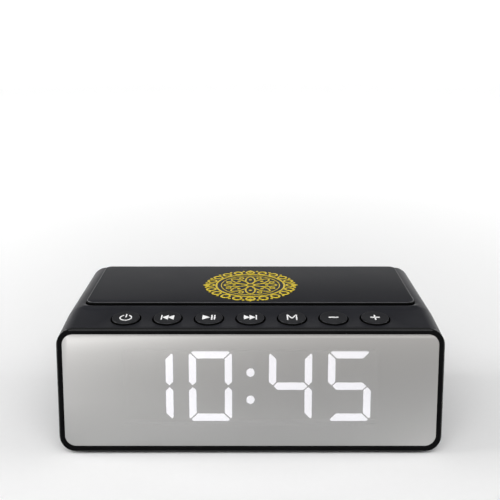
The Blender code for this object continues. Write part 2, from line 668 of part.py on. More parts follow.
def build_housing(deck, material):
    """Upper shell with the sloping deck, its keyholes, the panel recess and the screw bosses."""
    shape = bmesh.new()
    stations = shell_stations(FRONT_TOP, LIP_TOP, LIP_TOP)
    edge = SEAM_Z + CLEARANCE / 2
    loft(shape, [shell_ring(edge, crown, skin, wall, y) for crown, skin, wall, y in stations])
    housing = add_piece("main_housing", shape, material)

    posts = bmesh.new()
    roof = LIP_TOP - WALL + MERGED
    for x, y in post_places():
        place = Matrix.Translation((x, y, 0))
        rod(posts, place, POST_RADIUS, POST_BOTTOM, roof)
    join(housing, posts)
    ribs = bmesh.new()
    inside = HALF_WIDTH - WALL + MERGED
    for x, y in post_places():
        side = math.copysign(1, x)
        ends = sorted((x, side * inside))
        half = POST_RIB_THICKNESS / 2
        top = LIP_TOP - CORNER_RADIUS
        add_box(ribs, (ends[0], y - half, SEAM_Z + CLEARANCE), (ends[1], y + half, top))
    for side in (-1, 1):
        ends = sorted((side * inside, side * (REAR_SCREW_X - REAR_BOSS_WIDTH / 2)))
        z = REAR_SCREW_ZS[1]
        low = (ends[0], PORT_Y - REAR_BOSS_LENGTH, z - REAR_BOSS_HEIGHT / 2)
        add_box(ribs, low, (ends[1], PORT_Y, z + REAR_BOSS_HEIGHT / 2))
    join(housing, ribs)
    bosses = bmesh.new()
    for x, u in key_boss_places():
        rod(bosses, Matrix.Translation((x, u, 0)), KEY_BOSS_RADIUS, KEY_BOSS_BOTTOM_W, -WALL + MERGED)
    join(housing, bosses, parent=deck)

    recess = bmesh.new()
    slab(recess, panel_outline(PANEL_SIDE_GAP, TROUGH_FRONT), RECESS_FLOOR, LIP_TOP + OVERRUN)
    cut(housing, recess)
    holes = bmesh.new()
    for x in key_xs():
        rod(holes, Matrix.Translation((x, 0, 0)), KEY_HOLE_RADIUS, -WALL - MERGED, OVERRUN, FINE_SIDES)
    bore = SMALL_SHANK_RADIUS + CLEARANCE
    for x, u in key_boss_places()[2:]:
        rod(holes, Matrix.Translation((x, u, 0)), bore, KEY_BOARD_TOP_W - OVERRUN, -WALL - CLEARANCE)
    cut(housing, holes, parent=deck)
    pilots = bmesh.new()
    bore = LARGE_SHANK_RADIUS + CLEARANCE
    top = UNDERSIDE + COUNTERBORE_DEPTH + LARGE_SCREW_LENGTH + CLEARANCE
    for x, y in post_places():
        rod(pilots, Matrix.Translation((x, y, 0)), bore, UNDERSIDE, top)
    for side in (-1, 1):
        place = Matrix.Translation((side * REAR_SCREW_X, 0, REAR_SCREW_ZS[1])) @ ALONG_Y
        rod(pilots, place, bore, PORT_Y - REAR_BOSS_LENGTH - OVERRUN, BACK_Y)
    cut(housing, pilots)


def build_base(material):
    """Base shell with the feet pockets, screw sockets, board stand-offs and battery cradle."""
    shape = bmesh.new()
    edge = SEAM_Z - CLEARANCE / 2
    stations = shell_stations(UNDERSIDE, UNDERSIDE, UNDERSIDE)
    loft(shape, [shell_ring(edge, crown, skin, wall, y) for crown, skin, wall, y in stations])
    base = add_piece("base_cover", shape, material)

    raised = bmesh.new()
    root = FLOOR_TOP - MERGED
    for x, y in post_places():
        rod(raised, Matrix.Translation((x, y, 0)), SOCKET_RADIUS, root, FLOOR_TOP + SOCKET_HEIGHT)
    for x, y in main_screw_places():
        rod(raised, Matrix.Translation((x, y, 0)), STANDOFF_RADIUS, root, FLOOR_TOP + STANDOFF_HEIGHT)
    half = REAR_BOSS_WIDTH / 2
    for side in (-1, 1):
        x = side * REAR_SCREW_X
        low = (x - half, PORT_Y - REAR_BOSS_LENGTH, root)
        add_box(raised, low, (x + half, PORT_Y, edge - MERGED))
        rib = CELL_X + side * CRADLE_SPREAD
        low = (rib - CRADLE_THICKNESS / 2, CELL_Y - CRADLE_WIDTH / 2, root)
        high = (rib + CRADLE_THICKNESS / 2, CELL_Y + CRADLE_WIDTH / 2, FLOOR_TOP + CRADLE_HEIGHT)
        add_box(raised, low, high)
    join(base, raised)

    holes = bmesh.new()
    for x, y in foot_places():
        place = Matrix.Translation((x, y, UNDERSIDE))
        rod(holes, place, FOOT_RADIUS + CLEARANCE, -OVERRUN, FOOT_POCKET_DEPTH + CLEARANCE, ROUND_SIDES)
    head = LARGE_HEAD_RADIUS + CLEARANCE
    bore = LARGE_SHANK_RADIUS + CLEARANCE
    for x, y in post_places():
        profile = [
            (0, UNDERSIDE - OVERRUN),
            (head, UNDERSIDE - OVERRUN),
            (head, UNDERSIDE + COUNTERBORE_DEPTH),
            (bore, UNDERSIDE + COUNTERBORE_DEPTH),
            (bore, POST_BOTTOM + OVERRUN),
            (0, POST_BOTTOM + OVERRUN),
        ]
        turn(holes, profile, Matrix.Translation((x, y, 0)), SMALL_SIDES)
    for x, y in main_screw_places():
        rod(holes, Matrix.Translation((x, y, 0)), SMALL_SHANK_RADIUS + CLEARANCE, FLOOR_TOP, MAIN_BOARD_TOP)
    for side in (-1, 1):
        place = Matrix.Translation((side * REAR_SCREW_X, 0, REAR_SCREW_ZS[0])) @ ALONG_Y
        rod(holes, place, bore, PORT_Y - REAR_BOSS_LENGTH - OVERRUN / 2, BACK_Y)
    cell = Matrix.Translation((CELL_X, CELL_Y, CELL_Z)) @ ALONG_X
    rod(holes, cell, CELL_RADIUS + CLEARANCE, -CELL_LENGTH / 2, CELL_LENGTH / 2, ROUND_SIDES)
    cut(base, holes)


def foot_places():
    """Centres of the four feet."""
    x = HALF_WIDTH - FOOT_SIDE_INSET
    ys = (FRONT_Y + FOOT_END_INSET, BACK_Y - FOOT_END_INSET)
    return [(side * x, y) for side in (-1, 1) for y in ys]


def build_feet(material):
    """Four rubber feet, each seated in its pocket."""
    shape = bmesh.new()
    top = UNDERSIDE + FOOT_POCKET_DEPTH
    profile = [(0, 0), (FOOT_RADIUS - FOOT_EDGE, 0), (FOOT_RADIUS, FOOT_EDGE), (FOOT_RADIUS, top), (0, top)]
    turn(shape, profile)
    mesh = finished_mesh("rubber_foot", shape, material)
    set_copies("rubber_foot", mesh, [Matrix.Translation((x, y, 0)) for x, y in foot_places()])


def build_bezel(material):
    """Glossy front ring: rounded rim, bevelled mouth, and a spigot with the ledge behind the lens."""
    shape = bmesh.new()
    rounding = arc((RIM_ROUNDING, RIM_ROUNDING), RIM_ROUNDING, 180, 270, EDGE_STEPS + 1)
    profile = rounding + [
        (RIM_WIDTH - RIM_CHAMFER, 0),
        (RIM_WIDTH, RIM_CHAMFER),
        (RIM_WIDTH, LEDGE_FRONT),
        (LEDGE_INSET, LEDGE_FRONT),
        (LEDGE_INSET, LEDGE_BACK),
        (SPIGOT_INSET, LEDGE_BACK),
        (SPIGOT_INSET, RIM_DEPTH),
        (0, RIM_DEPTH),
    ]
    loft(shape, [face_ring(inset, distance) for inset, distance in profile], looped=True)
    add_piece("front_bezel", shape, material)


def build_lens(mirror, tape):
    """Mirror lens in the mouth of the ring, and the tape frame behind its edge."""
    shape = bmesh.new()
    inset = RIM_WIDTH + CLEARANCE
    loft(shape, [face_ring(inset, LENS_SETBACK), face_ring(inset, LENS_BACK)])
    add_piece("mirror_lens", shape, mirror)
    shape = bmesh.new()
    outer = inset + CLEARANCE
    back = TAPE_FRONT + LENS_TAPE_THICKNESS
    corners = ((outer, TAPE_FRONT), (LEDGE_INSET, TAPE_FRONT), (LEDGE_INSET, back), (outer, back))
    loft(shape, [face_ring(inset, distance) for inset, distance in corners], looped=True)
    add_piece("lens_tape", shape, tape)


def stroke_outline(letter):
    """Outline of one stroke of a seven-stroke digit, about the digit's centre."""
    half_width = DIGIT_WIDTH / 2
    half_height = DIGIT_HEIGHT / 2
    slip = STROKE_GAP / math.sqrt(2)
    reach = half_width - slip - CORNER_CUT
    inner = half_width - STROKE - slip
    if letter == "g":
        tip = half_width - STROKE / 2 - slip
        half = STROKE / 2
        shoulder = tip - half
        upper = [(-tip, 0), (-shoulder, half), (shoulder, half)]
        return upper + [(-x, -z) for x, z in upper]
    if letter in "ad":
        end = reach + CORNER_CUT / 2
        top = half_height
        below = half_height - CORNER_CUT / 2
        right = [(reach, top), (end, below), (inner, top - STROKE)]
        points = right + [(-x, z) for x, z in right[::-1]]
        return points if letter == "a" else [(x, -z) for x, z in points]
    right = half_width
    top = half_height - slip - CORNER_CUT
    points = [
        (right, top),
        (right - CORNER_CUT / 2, top + CORNER_CUT / 2),
        (right - STROKE, half_height - STROKE - slip),
        (right - STROKE, STROKE / 2 + slip),
        (right - STROKE / 2, slip),
        (right, STROKE / 2 + slip),
    ]
    across = -1 if letter in "ef" else 1
    up = -1 if letter in "ce" else 1
    return [(across * x, up * z) for x, z in points]


def build_diffuser(material):
    """Light guide with the strokes of four digits and the two colon dots raised on one sheet."""
    y = FRONT_Y + MODULE_FRONT
    half = MODULE_WIDTH / 2 - MODULE_RIM - CLEARANCE
    rise = MODULE_HALF_HEIGHT - MODULE_RIM - CLEARANCE
    shape = bmesh.new()
    low = (-half, y + SEGMENT_THICKNESS, DIGIT_Z - rise)
    add_box(shape, low, (half, y + SEGMENT_THICKNESS + SHEET_THICKNESS, DIGIT_Z + rise))
    sheet = add_piece("segment_diffuser", shape, material)
    strokes = bmesh.new()
    for centre in (-OUTER_DIGIT_X, -INNER_DIGIT_X, INNER_DIGIT_X, OUTER_DIGIT_X):
        for letter in "abcdefg":
            outline = stroke_outline(letter)
            rings = [
                [(centre + x, y + depth, DIGIT_Z + z) for x, z in outline]
                for depth in (0, SEGMENT_THICKNESS + MERGED / 2)
            ]
            loft(strokes, rings)
    for side in (-1, 1):
        place = Matrix.Translation((0, y, DIGIT_Z + side * COLON_DOT_RISE)) @ ALONG_Y
        rod(strokes, place, COLON_DOT_RADIUS, 0, SEGMENT_THICKNESS + MERGED / 2, ROUND_SIDES)
    join(sheet, strokes)


def build_display(module, board, steel):
    """Display module, its board and the screws that hold the two together."""
    half = MODULE_WIDTH / 2
    low_z = DIGIT_Z - MODULE_HALF_HEIGHT
    high_z = DIGIT_Z + MODULE_HALF_HEIGHT
    shape = bmesh.new()
    add_box(shape, (-half, FRONT_Y + MODULE_FRONT, low_z), (half, FRONT_Y + MODULE_BACK, high_z))
    housing = add_piece("display_housing", shape, module)
    wings = bmesh.new()
    tip = HALF_WIDTH - WALL - CLEARANCE
    for side in (-1, 1):
        ends = sorted((side * (half - MERGED), side * tip))
        back = FRONT_Y + FLANGE_FRONT + MODULE_FLANGE_THICKNESS
        low = (ends[0], FRONT_Y + FLANGE_FRONT, low_z + MODULE_BORDER)
        add_box(wings, low, (ends[1], back, high_z - MODULE_BORDER))
    join(housing, wings)
    pocket = bmesh.new()
    low = (MODULE_RIM - half, FRONT_Y + MODULE_FRONT - OVERRUN, low_z + MODULE_RIM)
    add_box(pocket, low, (half - MODULE_RIM, FRONT_Y + POCKET_FLOOR, high_z - MODULE_RIM))
    screw_x = half - DISPLAY_SCREW_INSET
    bore = SMALL_SHANK_RADIUS + CLEARANCE
    inner = DISPLAY_BOARD_BACK - SMALL_SCREW_LENGTH
    for x in (-screw_x, screw_x):
        place = Matrix.Translation((x, FRONT_Y, DIGIT_Z)) @ ALONG_Y
        rod(pocket, place, bore, inner, MODULE_BACK + OVERRUN)
    cut(housing, pocket)

    shape = bmesh.new()
    edge = DISPLAY_BOARD_INSET
    low = (edge - half, FRONT_Y + DISPLAY_BOARD_FRONT, low_z + edge)
    add_box(shape, low, (half - edge, FRONT_Y + DISPLAY_BOARD_BACK, high_z - edge))
    plate = add_piece("display_board", shape, board)
    holes = bmesh.new()
    back = FRONT_Y + DISPLAY_BOARD_BACK + CLEARANCE
    for x in (-screw_x, screw_x):
        place = Matrix.Translation((x, FRONT_Y, DIGIT_Z)) @ ALONG_Y
        rod(holes, place, bore, MODULE_BACK - OVERRUN, DISPLAY_BOARD_BACK + OVERRUN)
    cut(plate, holes)
    places = [Matrix.Translation((x, back, DIGIT_Z)) @ AGAINST_Y for x in (-screw_x, screw_x)]
    small_screws("display_board_screw", places, steel)


def build_top_panel(panel, tape):
    """Slim raised panel with a round seat for the badge, and the tape sheet under it."""
    shape = bmesh.new()
    lower = panel_outline()
    upper = panel_outline(-PANEL_EDGE, PANEL_FRONT_DISTANCE + PANEL_EDGE)
    rings = [
        [(x, y, PANEL_BOTTOM) for x, y in lower],
        [(x, y, PANEL_TOP - PANEL_EDGE) for x, y in lower],
        [(x, y, PANEL_TOP) for x, y in upper],
    ]
    loft(shape, rings)
    piece = add_piece("top_panel", shape, panel)
    seat = bmesh.new()
    outline = badge_outline(CLEARANCE)
    low = PANEL_TOP + BADGE_PROUD - BADGE_THICKNESS - CLEARANCE
    slab(seat, outline, low, PANEL_TOP + OVERRUN)
    cut(piece, seat)
    shape = bmesh.new()
    sheet = panel_outline(-PANEL_TAPE_INSET, PANEL_FRONT_DISTANCE + PANEL_TAPE_INSET)
    slab(shape, sheet, PANEL_TAPE_TOP - PANEL_TAPE_THICKNESS, PANEL_TAPE_TOP)
    add_piece("panel_tape", shape, tape)


def badge_outline(grow=0.0):
    """Scalloped edge of the badge, with a pointed tip at the middle of each side."""
    steps = BADGE_LOBES * 5
    outline = []
    for i in range(steps):
        angle = 2 * math.pi * i / steps
        lobe = abs(math.cos(BADGE_LOBES * angle / 2))
        tip = max(0, math.cos(4 * angle)) ** 12
        radius = BADGE_RADIUS - BADGE_TIP_LENGTH * (1 - tip) - BADGE_LOBE_DEPTH * (1 - lobe) + grow
        outline.append((radius * math.cos(angle), BADGE_Y + radius * math.sin(angle)))
    return outline


def build_badge(material):
    """Round pierced badge: scalloped border with eyes, a ring of slots and a rosette of petals."""
    bottom = PANEL_TOP + BADGE_PROUD - BADGE_THICKNESS
    top = PANEL_TOP + BADGE_PROUD
    shape = bmesh.new()
    slab(shape, badge_outline(), bottom, top)
    badge = add_piece("medallion", shape, material)
    holes = bmesh.new()
    low, high = bottom - OVERRUN, top + OVERRUN
    for i in range(BADGE_LOBES):
        angle = 2 * math.pi * i / BADGE_LOBES
        x = BADGE_EYE_RING * math.cos(angle)
        y = BADGE_Y + BADGE_EYE_RING * math.sin(angle)
        rod(holes, Matrix.Translation((x, y, 0)), BADGE_EYE_RADIUS, low, high, BADGE_EYE_SIDES)
    for i in range(BADGE_SLOTS):
        middle = 360 * i / BADGE_SLOTS
        half = 360 / BADGE_SLOTS * BADGE_SLOT_LENGTH_SHARE
        inner = arc((0, BADGE_Y), BADGE_SLOT_RING - BADGE_SLOT_WIDTH / 2, middle - half, middle + half, 3)
        outer = arc((0, BADGE_Y), BADGE_SLOT_RING + BADGE_SLOT_WIDTH / 2, middle + half, middle - half, 3)
        slab(holes, inner + outer, low, high)
    for i in range(BADGE_PETALS):
        turned = Matrix.Translation((0, BADGE_Y, 0)) @ Matrix.Rotation(2 * math.pi * i / BADGE_PETALS, 4, "Z")
        petal = []
        for j in range(BADGE_PETAL_SIDES):
            angle = 2 * math.pi * j / BADGE_PETAL_SIDES
            along = BADGE_PETAL_RING + BADGE_PETAL_LENGTH / 2 * math.cos(angle)
            aside = BADGE_PETAL_WIDTH / 2 * math.sin(angle)
            point = turned @ Vector((along, aside, 0))
            petal.append((point.x, point.y))
        slab(holes, petal, low, high)
    cut(badge, holes)


def key_xs():
    """Middles of the keys across the deck."""
    middle = (len(KEY_NAMES) - 1) / 2
    return [(i - middle) * KEY_PITCH for i in range(len(KEY_NAMES))]


def build_keys(deck, cap):
    """Seven caps, each with the ears that stop it under the deck and the stem of its switch."""
    for name, x in zip(KEY_NAMES, key_xs()):
        axis = guide(f"key_axis_{name}", deck, (x, 0, 0))
        shape = bmesh.new()
        profile = [
            (0, STEM_BOTTOM_W),
            (STEM_RADIUS, STEM_BOTTOM_W),
            (STEM_RADIUS, KEY_BOTTOM_W),
            (KEY_RADIUS, KEY_BOTTOM_W),
            (KEY_RADIUS, KEY_TOP_W - KEY_EDGE),
            (KEY_RADIUS - KEY_EDGE, KEY_TOP_W),
            (0, KEY_TOP_W),
        ]
        turn(shape, profile, sides=FINE_SIDES)
        button = add_piece(f"button_{name}", shape, cap, axis)
        ears = bmesh.new()
        half = KEY_EAR_WIDTH / 2
        add_box(ears, (-KEY_EAR_TIP, -half, EAR_TOP_W - KEY_EAR_THICKNESS), (KEY_EAR_TIP, half, EAR_TOP_W))
        join(button, ears)


def build_key_board(deck, board, steel):
    """Board under the keys with a switch soldered below each key, and its screws."""
    shape = bmesh.new()
    end = key_xs()[-1] + KEY_BOARD_END_MARGIN
    low = (-end, -KEY_BOARD_FRONT, KEY_BOARD_BOTTOM_W)
    add_box(shape, low, (end, KEY_BOARD_BACK, KEY_BOARD_TOP_W))
    plate = add_piece("key_board", shape, board, deck)
    switches = bmesh.new()
    holes = bmesh.new()
    half = SWITCH_SIZE / 2
    for x in key_xs():
        add_box(switches, (x - half, -half, KEY_BOARD_TOP_W - MERGED), (x + half, half, SWITCH_TOP_W))
        place = Matrix.Translation((x, 0, 0))
        rod(holes, place, STEM_RADIUS + CLEARANCE, SWITCH_BORE_W, SWITCH_TOP_W + OVERRUN)
    join(plate, switches)
    screwed = key_boss_places()[2:]
    for x, u in screwed:
        low = KEY_BOARD_BOTTOM_W - OVERRUN
        rod(holes, Matrix.Translation((x, u, 0)), SMALL_SHANK_RADIUS + CLEARANCE, low, SWITCH_TOP_W)
    cut(plate, holes)
    heads = [Matrix.Translation((x, u, KEY_BOARD_BOTTOM_W - CLEARANCE)) for x, u in screwed]
    small_screws("key_board_screw", heads, steel, deck)


def build_rear_panel(material, steel):
    """Rear panel with the speaker opening, port cut-outs and speaker bosses, and its four screws."""
    shape = bmesh.new()
    rings = [face_ring(REAR_INSET, y - FRONT_Y, LIP_TOP) for y in (REAR_INNER_Y, REAR_OUTER_Y)]
    loft(shape, rings)
    panel = add_piece("rear_panel", shape, material)
    bosses = bmesh.new()
    for x, z in speaker_screw_places():
        place = Matrix.Translation((x, REAR_INNER_Y, z)) @ AGAINST_Y
        rod(bosses, place, SPEAKER_BOSS_RADIUS, -MERGED, SPEAKER_FACE - CLEARANCE)
    join(panel, bosses)

    holes = bmesh.new()
    back = REAR_OUTER_Y + OVERRUN
    front = REAR_INNER_Y - OVERRUN
    middle = Matrix.Translation((SPEAKER_X, 0, SPEAKER_Z)) @ ALONG_Y
    rod(holes, middle, GRILLE_OPENING_RADIUS, front, back, FINE_SIDES)
    bore = SMALL_SHANK_RADIUS + CLEARANCE
    for x, z in speaker_screw_places():
        tip = SPEAKER_FLANGE_BACK - SMALL_SCREW_LENGTH
        place = Matrix.Translation((x, REAR_INNER_Y, z)) @ AGAINST_Y
        rod(holes, place, bore, tip - CLEARANCE, SPEAKER_FACE + CLEARANCE)
    for x, half, low_z, high_z in port_mouths():
        add_box(holes, (x - half, front, low_z), (x + half, back, high_z))
    jack = Matrix.Translation((AUX_X, 0, ON_BOARD + AUX_BODY_HEIGHT / 2)) @ ALONG_Y
    rod(holes, jack, AUX_NOSE_RADIUS + CLEARANCE, front, back, ROUND_SIDES)
    heads = []
    for x in (-REAR_SCREW_X, REAR_SCREW_X):
        for z in REAR_SCREW_ZS:
            rod(holes, Matrix.Translation((x, 0, z)) @ ALONG_Y, LARGE_SHANK_RADIUS + CLEARANCE, front, back)
            heads.append(Matrix.Translation((x, REAR_OUTER_Y + CLEARANCE, z)) @ AGAINST_Y)
    cut(panel, holes)
    large_screws("rear_panel_screw", heads, steel)


def port_mouths():
    """Rectangular cut-outs for the power socket and the card slot: middle, half width, low and high."""
    return [
        (USB_X, USB_WIDTH / 2 + PORT_MARGIN, ON_BOARD - PORT_MARGIN, ON_BOARD + USB_HEIGHT + PORT_MARGIN),
        (CARD_X, CARD_WIDTH / 2 + PORT_MARGIN, ON_BOARD - PORT_MARGIN, ON_BOARD + CARD_HEIGHT + PORT_MARGIN),
    ]


def build_speaker(grille, rubber, frame, paper, magnet, copper, steel):
    """Loudspeaker on the rear panel. Depths run inwards, so its guide points along -Y."""
    axis = guide("speaker_axis", None, (SPEAKER_X, REAR_INNER_Y, SPEAKER_Z), math.pi / 2)

    shape = bmesh.new()
    outer = GRILLE_OPENING_RADIUS - CLEARANCE
    face = GRILLE_SETBACK - REAR_THICKNESS
    profile = [
        (0, face), (outer, face), (outer, CLEARANCE), (GRILLE_FLANGE_RADIUS, CLEARANCE),
        (GRILLE_FLANGE_RADIUS, GRILLE_BACK), (0, GRILLE_BACK),
    ]
    turn(shape, profile, sides=FINE_SIDES)
    cover = add_piece("speaker_grille", shape, grille, axis)
    slots = bmesh.new()
    half = GRILLE_SLOT_WIDTH / 2
    for i in range(-GRILLE_SIDE_SLOTS, GRILLE_SIDE_SLOTS + 1):
        x = i * GRILLE_SLOT_PITCH
        reach = math.sqrt(GRILLE_SLOT_REACH ** 2 - x ** 2) - half
        outline = arc((x, reach), half, 0, 180, 3) + arc((x, -reach), half, 180, 360, 3)
        slab(slots, outline, face - OVERRUN, GRILLE_BACK + OVERRUN)
    cut(cover, slots, parent=axis)

    shape = bmesh.new()
    gasket_back = GASKET_FRONT + GASKET_THICKNESS
    outer = GRILLE_FLANGE_RADIUS - CLEARANCE
    inner = outer - GASKET_WIDTH
    turn(shape, [(inner, GASKET_FRONT), (outer, GASKET_FRONT), (outer, gasket_back), (inner, gasket_back)])
    add_piece("speaker_gasket", shape, rubber, axis)

    build_basket(axis, frame, steel)
    build_motor(axis, magnet)
    build_diaphragm(axis, paper, rubber, copper)


def build_basket(axis, frame, steel):
    """Square speaker flange with its conical basket, and the four screws through its corners."""
    shape = bmesh.new()
    half = SPEAKER_SIZE / 2
    outline = rounded_outline((-half, -half), (half, half), (SPEAKER_CORNER,) * 4, EDGE_STEPS)
    slab(shape, outline, SPEAKER_FACE, SPEAKER_FLANGE_BACK)
    basket = add_piece("speaker_basket", shape, frame, axis)
    holes = bmesh.new()
    rod(holes, Matrix.Identity(4), BASKET_OPENING_RADIUS, SPEAKER_FACE - OVERRUN, BASKET_BACK, ROUND_SIDES)
    spread = (-SPEAKER_SCREW_SPREAD, SPEAKER_SCREW_SPREAD)
    bore = SMALL_SHANK_RADIUS + CLEARANCE
    heads = []
    for x in spread:
        for y in spread:
            place = Matrix.Translation((x, y, 0))
            rod(holes, place, bore, SPEAKER_FACE - OVERRUN, SPEAKER_FLANGE_BACK + OVERRUN)
            heads.append(Matrix.Translation((x, y, SPEAKER_FLANGE_BACK + CLEARANCE)) @ DOWNWARDS)
    cut(basket, holes)
    bowl = bmesh.new()
    shoulder = SPEAKER_FACE + BASKET_SHOULDER_DEPTH
    start = SPEAKER_FACE + SPEAKER_FLANGE / 2
    inner = BASKET_RADIUS - BASKET_WALL
    profile = [
        (BASKET_RADIUS, start), (BASKET_RADIUS, shoulder), (BASKET_FLOOR_RADIUS, BASKET_FLOOR),
        (BASKET_FLOOR_RADIUS, BASKET_BACK), (BASKET_THROAT_RADIUS, BASKET_BACK),
        (BASKET_THROAT_RADIUS, BASKET_FLOOR), (BASKET_FLOOR_RADIUS - BASKET_WALL, BASKET_FLOOR),
        (inner, shoulder), (inner, start),
    ]
    turn(bowl, profile)
    join(basket, bowl)
    small_screws("speaker_screw", heads, steel, axis)


def build_motor(axis, material):
    """Magnet with its pole and the ring gap that the voice coil runs in."""
    shape = bmesh.new()
    gap_floor = MAGNET_BACK - MAGNET_FLOOR
    profile = [
        (0, MAGNET_BACK), (MAGNET_RADIUS, MAGNET_BACK), (MAGNET_RADIUS, MAGNET_FACE),
        (MAGNET_GAP_RADIUS, MAGNET_FACE), (MAGNET_GAP_RADIUS, gap_floor), (POLE_RADIUS, gap_floor),
        (POLE_RADIUS, BASKET_FLOOR), (0, BASKET_FLOOR),
    ]
    turn(shape, profile)
    add_piece("speaker_magnet", shape, material, axis)


def build_diaphragm(axis, paper, rubber, copper):
    """Cone, dust cap and voice coil, which move together, and the surround that holds them."""
    moving = guide("diaphragm_axis", axis)
    shape = bmesh.new()
    profile = [
        (CONE_NECK_RADIUS, CONE_NECK), (CONE_RADIUS, CONE_FRONT),
        (CONE_RADIUS, CONE_FRONT + CONE_THICKNESS), (CONE_NECK_RADIUS, CONE_NECK + CONE_THICKNESS),
    ]
    turn(shape, profile)
    add_piece("speaker_cone", shape, paper, moving)

    shape = bmesh.new()
    slope = CONE_DEPTH / (CONE_RADIUS - CONE_NECK_RADIUS)
    rim = CONE_NECK - (DOME_RADIUS - CONE_NECK_RADIUS) * slope - CLEARANCE - DOME_THICKNESS
    steps = 3
    outer = [
        (DOME_RADIUS * math.sin(a), rim - DOME_HEIGHT * (math.cos(a)))
        for a in (math.pi / 2 * i / steps for i in range(steps + 1))
    ]
    inner = [
        (max(0, radius - DOME_THICKNESS), depth + DOME_THICKNESS)
        for radius, depth in outer[::-1]
    ]
    turn(shape, outer + inner)
    add_piece("speaker_dust_cap", shape, paper, moving)

    shape = bmesh.new()
    back = COIL_FRONT + COIL_LENGTH
    profile = [
        (COIL_INNER_RADIUS, COIL_FRONT), (COIL_OUTER_RADIUS, COIL_FRONT),
        (COIL_OUTER_RADIUS, back), (COIL_INNER_RADIUS, back),
    ]
    turn(shape, profile)
    add_piece("voice_coil", shape, copper, moving)

    shape = bmesh.new()
    start = BASKET_OPENING_RADIUS - ROLL_WIDTH + CLEARANCE
    end = BASKET_OPENING_RADIUS
    seat = SPEAKER_FACE - CLEARANCE
    middle = (start + end) / 2
    half = (end - start) / 2
    steps = 4
    path = []
    for i in range(steps + 1):
        angle = math.pi * i / steps
        path.append((middle - half * math.cos(angle), seat - ROLL_HEIGHT * math.sin(angle)))
    path.append((end + SURROUND_LIP, seat))
    lifted = [(radius, depth - ROLL_THICKNESS) for radius, depth in path]
    turn(shape, path + lifted[::-1])
    add_piece("speaker_surround", shape, rubber, axis)


def build_main_board(board, steel):
    """Main board on its stand-offs with everything that is soldered to it, and its screws."""
    shape = bmesh.new()
    low = (MAIN_BOARD_LEFT, MAIN_BOARD_FRONT, MAIN_BOARD_BOTTOM)
    add_box(shape, low, (MAIN_BOARD_RIGHT, MAIN_BOARD_BACK, MAIN_BOARD_TOP))
    plate = add_piece("main_board", shape, board)
    middle = CHIP_ROW_Y
    row = [MAIN_BOARD_LEFT + MAIN_BOARD_WIDTH * share for share in CHIP_ROW_SHARES]
    parts = bmesh.new()
    soldered(parts, row[0], middle, CHIP_SIZE, CHIP_SIZE, CHIP_HEIGHT)
    soldered(parts, row[1], middle, AMPLIFIER_WIDTH, AMPLIFIER_LENGTH, AMPLIFIER_HEIGHT)
    soldered(parts, row[2], middle, RADIO_WIDTH, RADIO_LENGTH, RADIO_HEIGHT)
    soldered(parts, row[1], middle + CHIP_SIZE, INDUCTOR_SIZE, INDUCTOR_SIZE, INDUCTOR_HEIGHT)
    for x in (row[0], (row[0] + row[1]) / 2):
        place = Matrix.Translation((x, middle + CHIP_SIZE, MAIN_BOARD_TOP))
        rod(parts, place, CAPACITOR_RADIUS, -MERGED, CAPACITOR_HEIGHT)
    for x, y in (battery_plug_place(), speaker_plug_place()):
        soldered(parts, x, y, LEAD_PLUG_SIZE, LEAD_PLUG_SIZE, LEAD_PLUG_HEIGHT)
    for x in ribbon_xs():
        soldered(parts, x, ribbon_socket_y(), RIBBON_SOCKET_WIDTH, RIBBON_SOCKET_LENGTH, RIBBON_SOCKET_HEIGHT)
    join(plate, parts)
    holes = bmesh.new()
    bore = SMALL_SHANK_RADIUS + CLEARANCE
    for x, y in main_screw_places():
        place = Matrix.Translation((x, y, 0))
        rod(holes, place, bore, MAIN_BOARD_BOTTOM - OVERRUN, MAIN_BOARD_TOP + OVERRUN)
    cut(plate, holes)
    heads = [Matrix.Translation((x, y, ON_BOARD)) @ DOWNWARDS for x, y in main_screw_places()]
    small_screws("main_board_screw", heads, steel)


def soldered(shape, x, y, width, length, height):
    """Adds a block that is soldered to the main board."""
    low = (x - width / 2, y - length / 2, MAIN_BOARD_TOP - MERGED)
    add_box(shape, low, (x + width / 2, y + length / 2, MAIN_BOARD_TOP + height))


def battery_plug_place():
    """Middle of the battery's plug on the board."""
    return MAIN_BOARD_LEFT + MAIN_SCREW_INSET, MAIN_BOARD_FRONT + PLUG_FRONT_OFFSET


def speaker_plug_place():
    """Middle of the speaker's plug on the board."""
    x, y = battery_plug_place()
    return x, y + PLUG_PITCH


def ribbon_xs():
    """Middles of the display ribbon and the key ribbon."""
    return [MAIN_BOARD_LEFT + MAIN_BOARD_WIDTH * share for share in RIBBON_SHARES]


def ribbon_socket_y():
    """Middle of the ribbon sockets, near the front edge of the board."""
    return MAIN_BOARD_FRONT + RIBBON_SOCKET_LENGTH


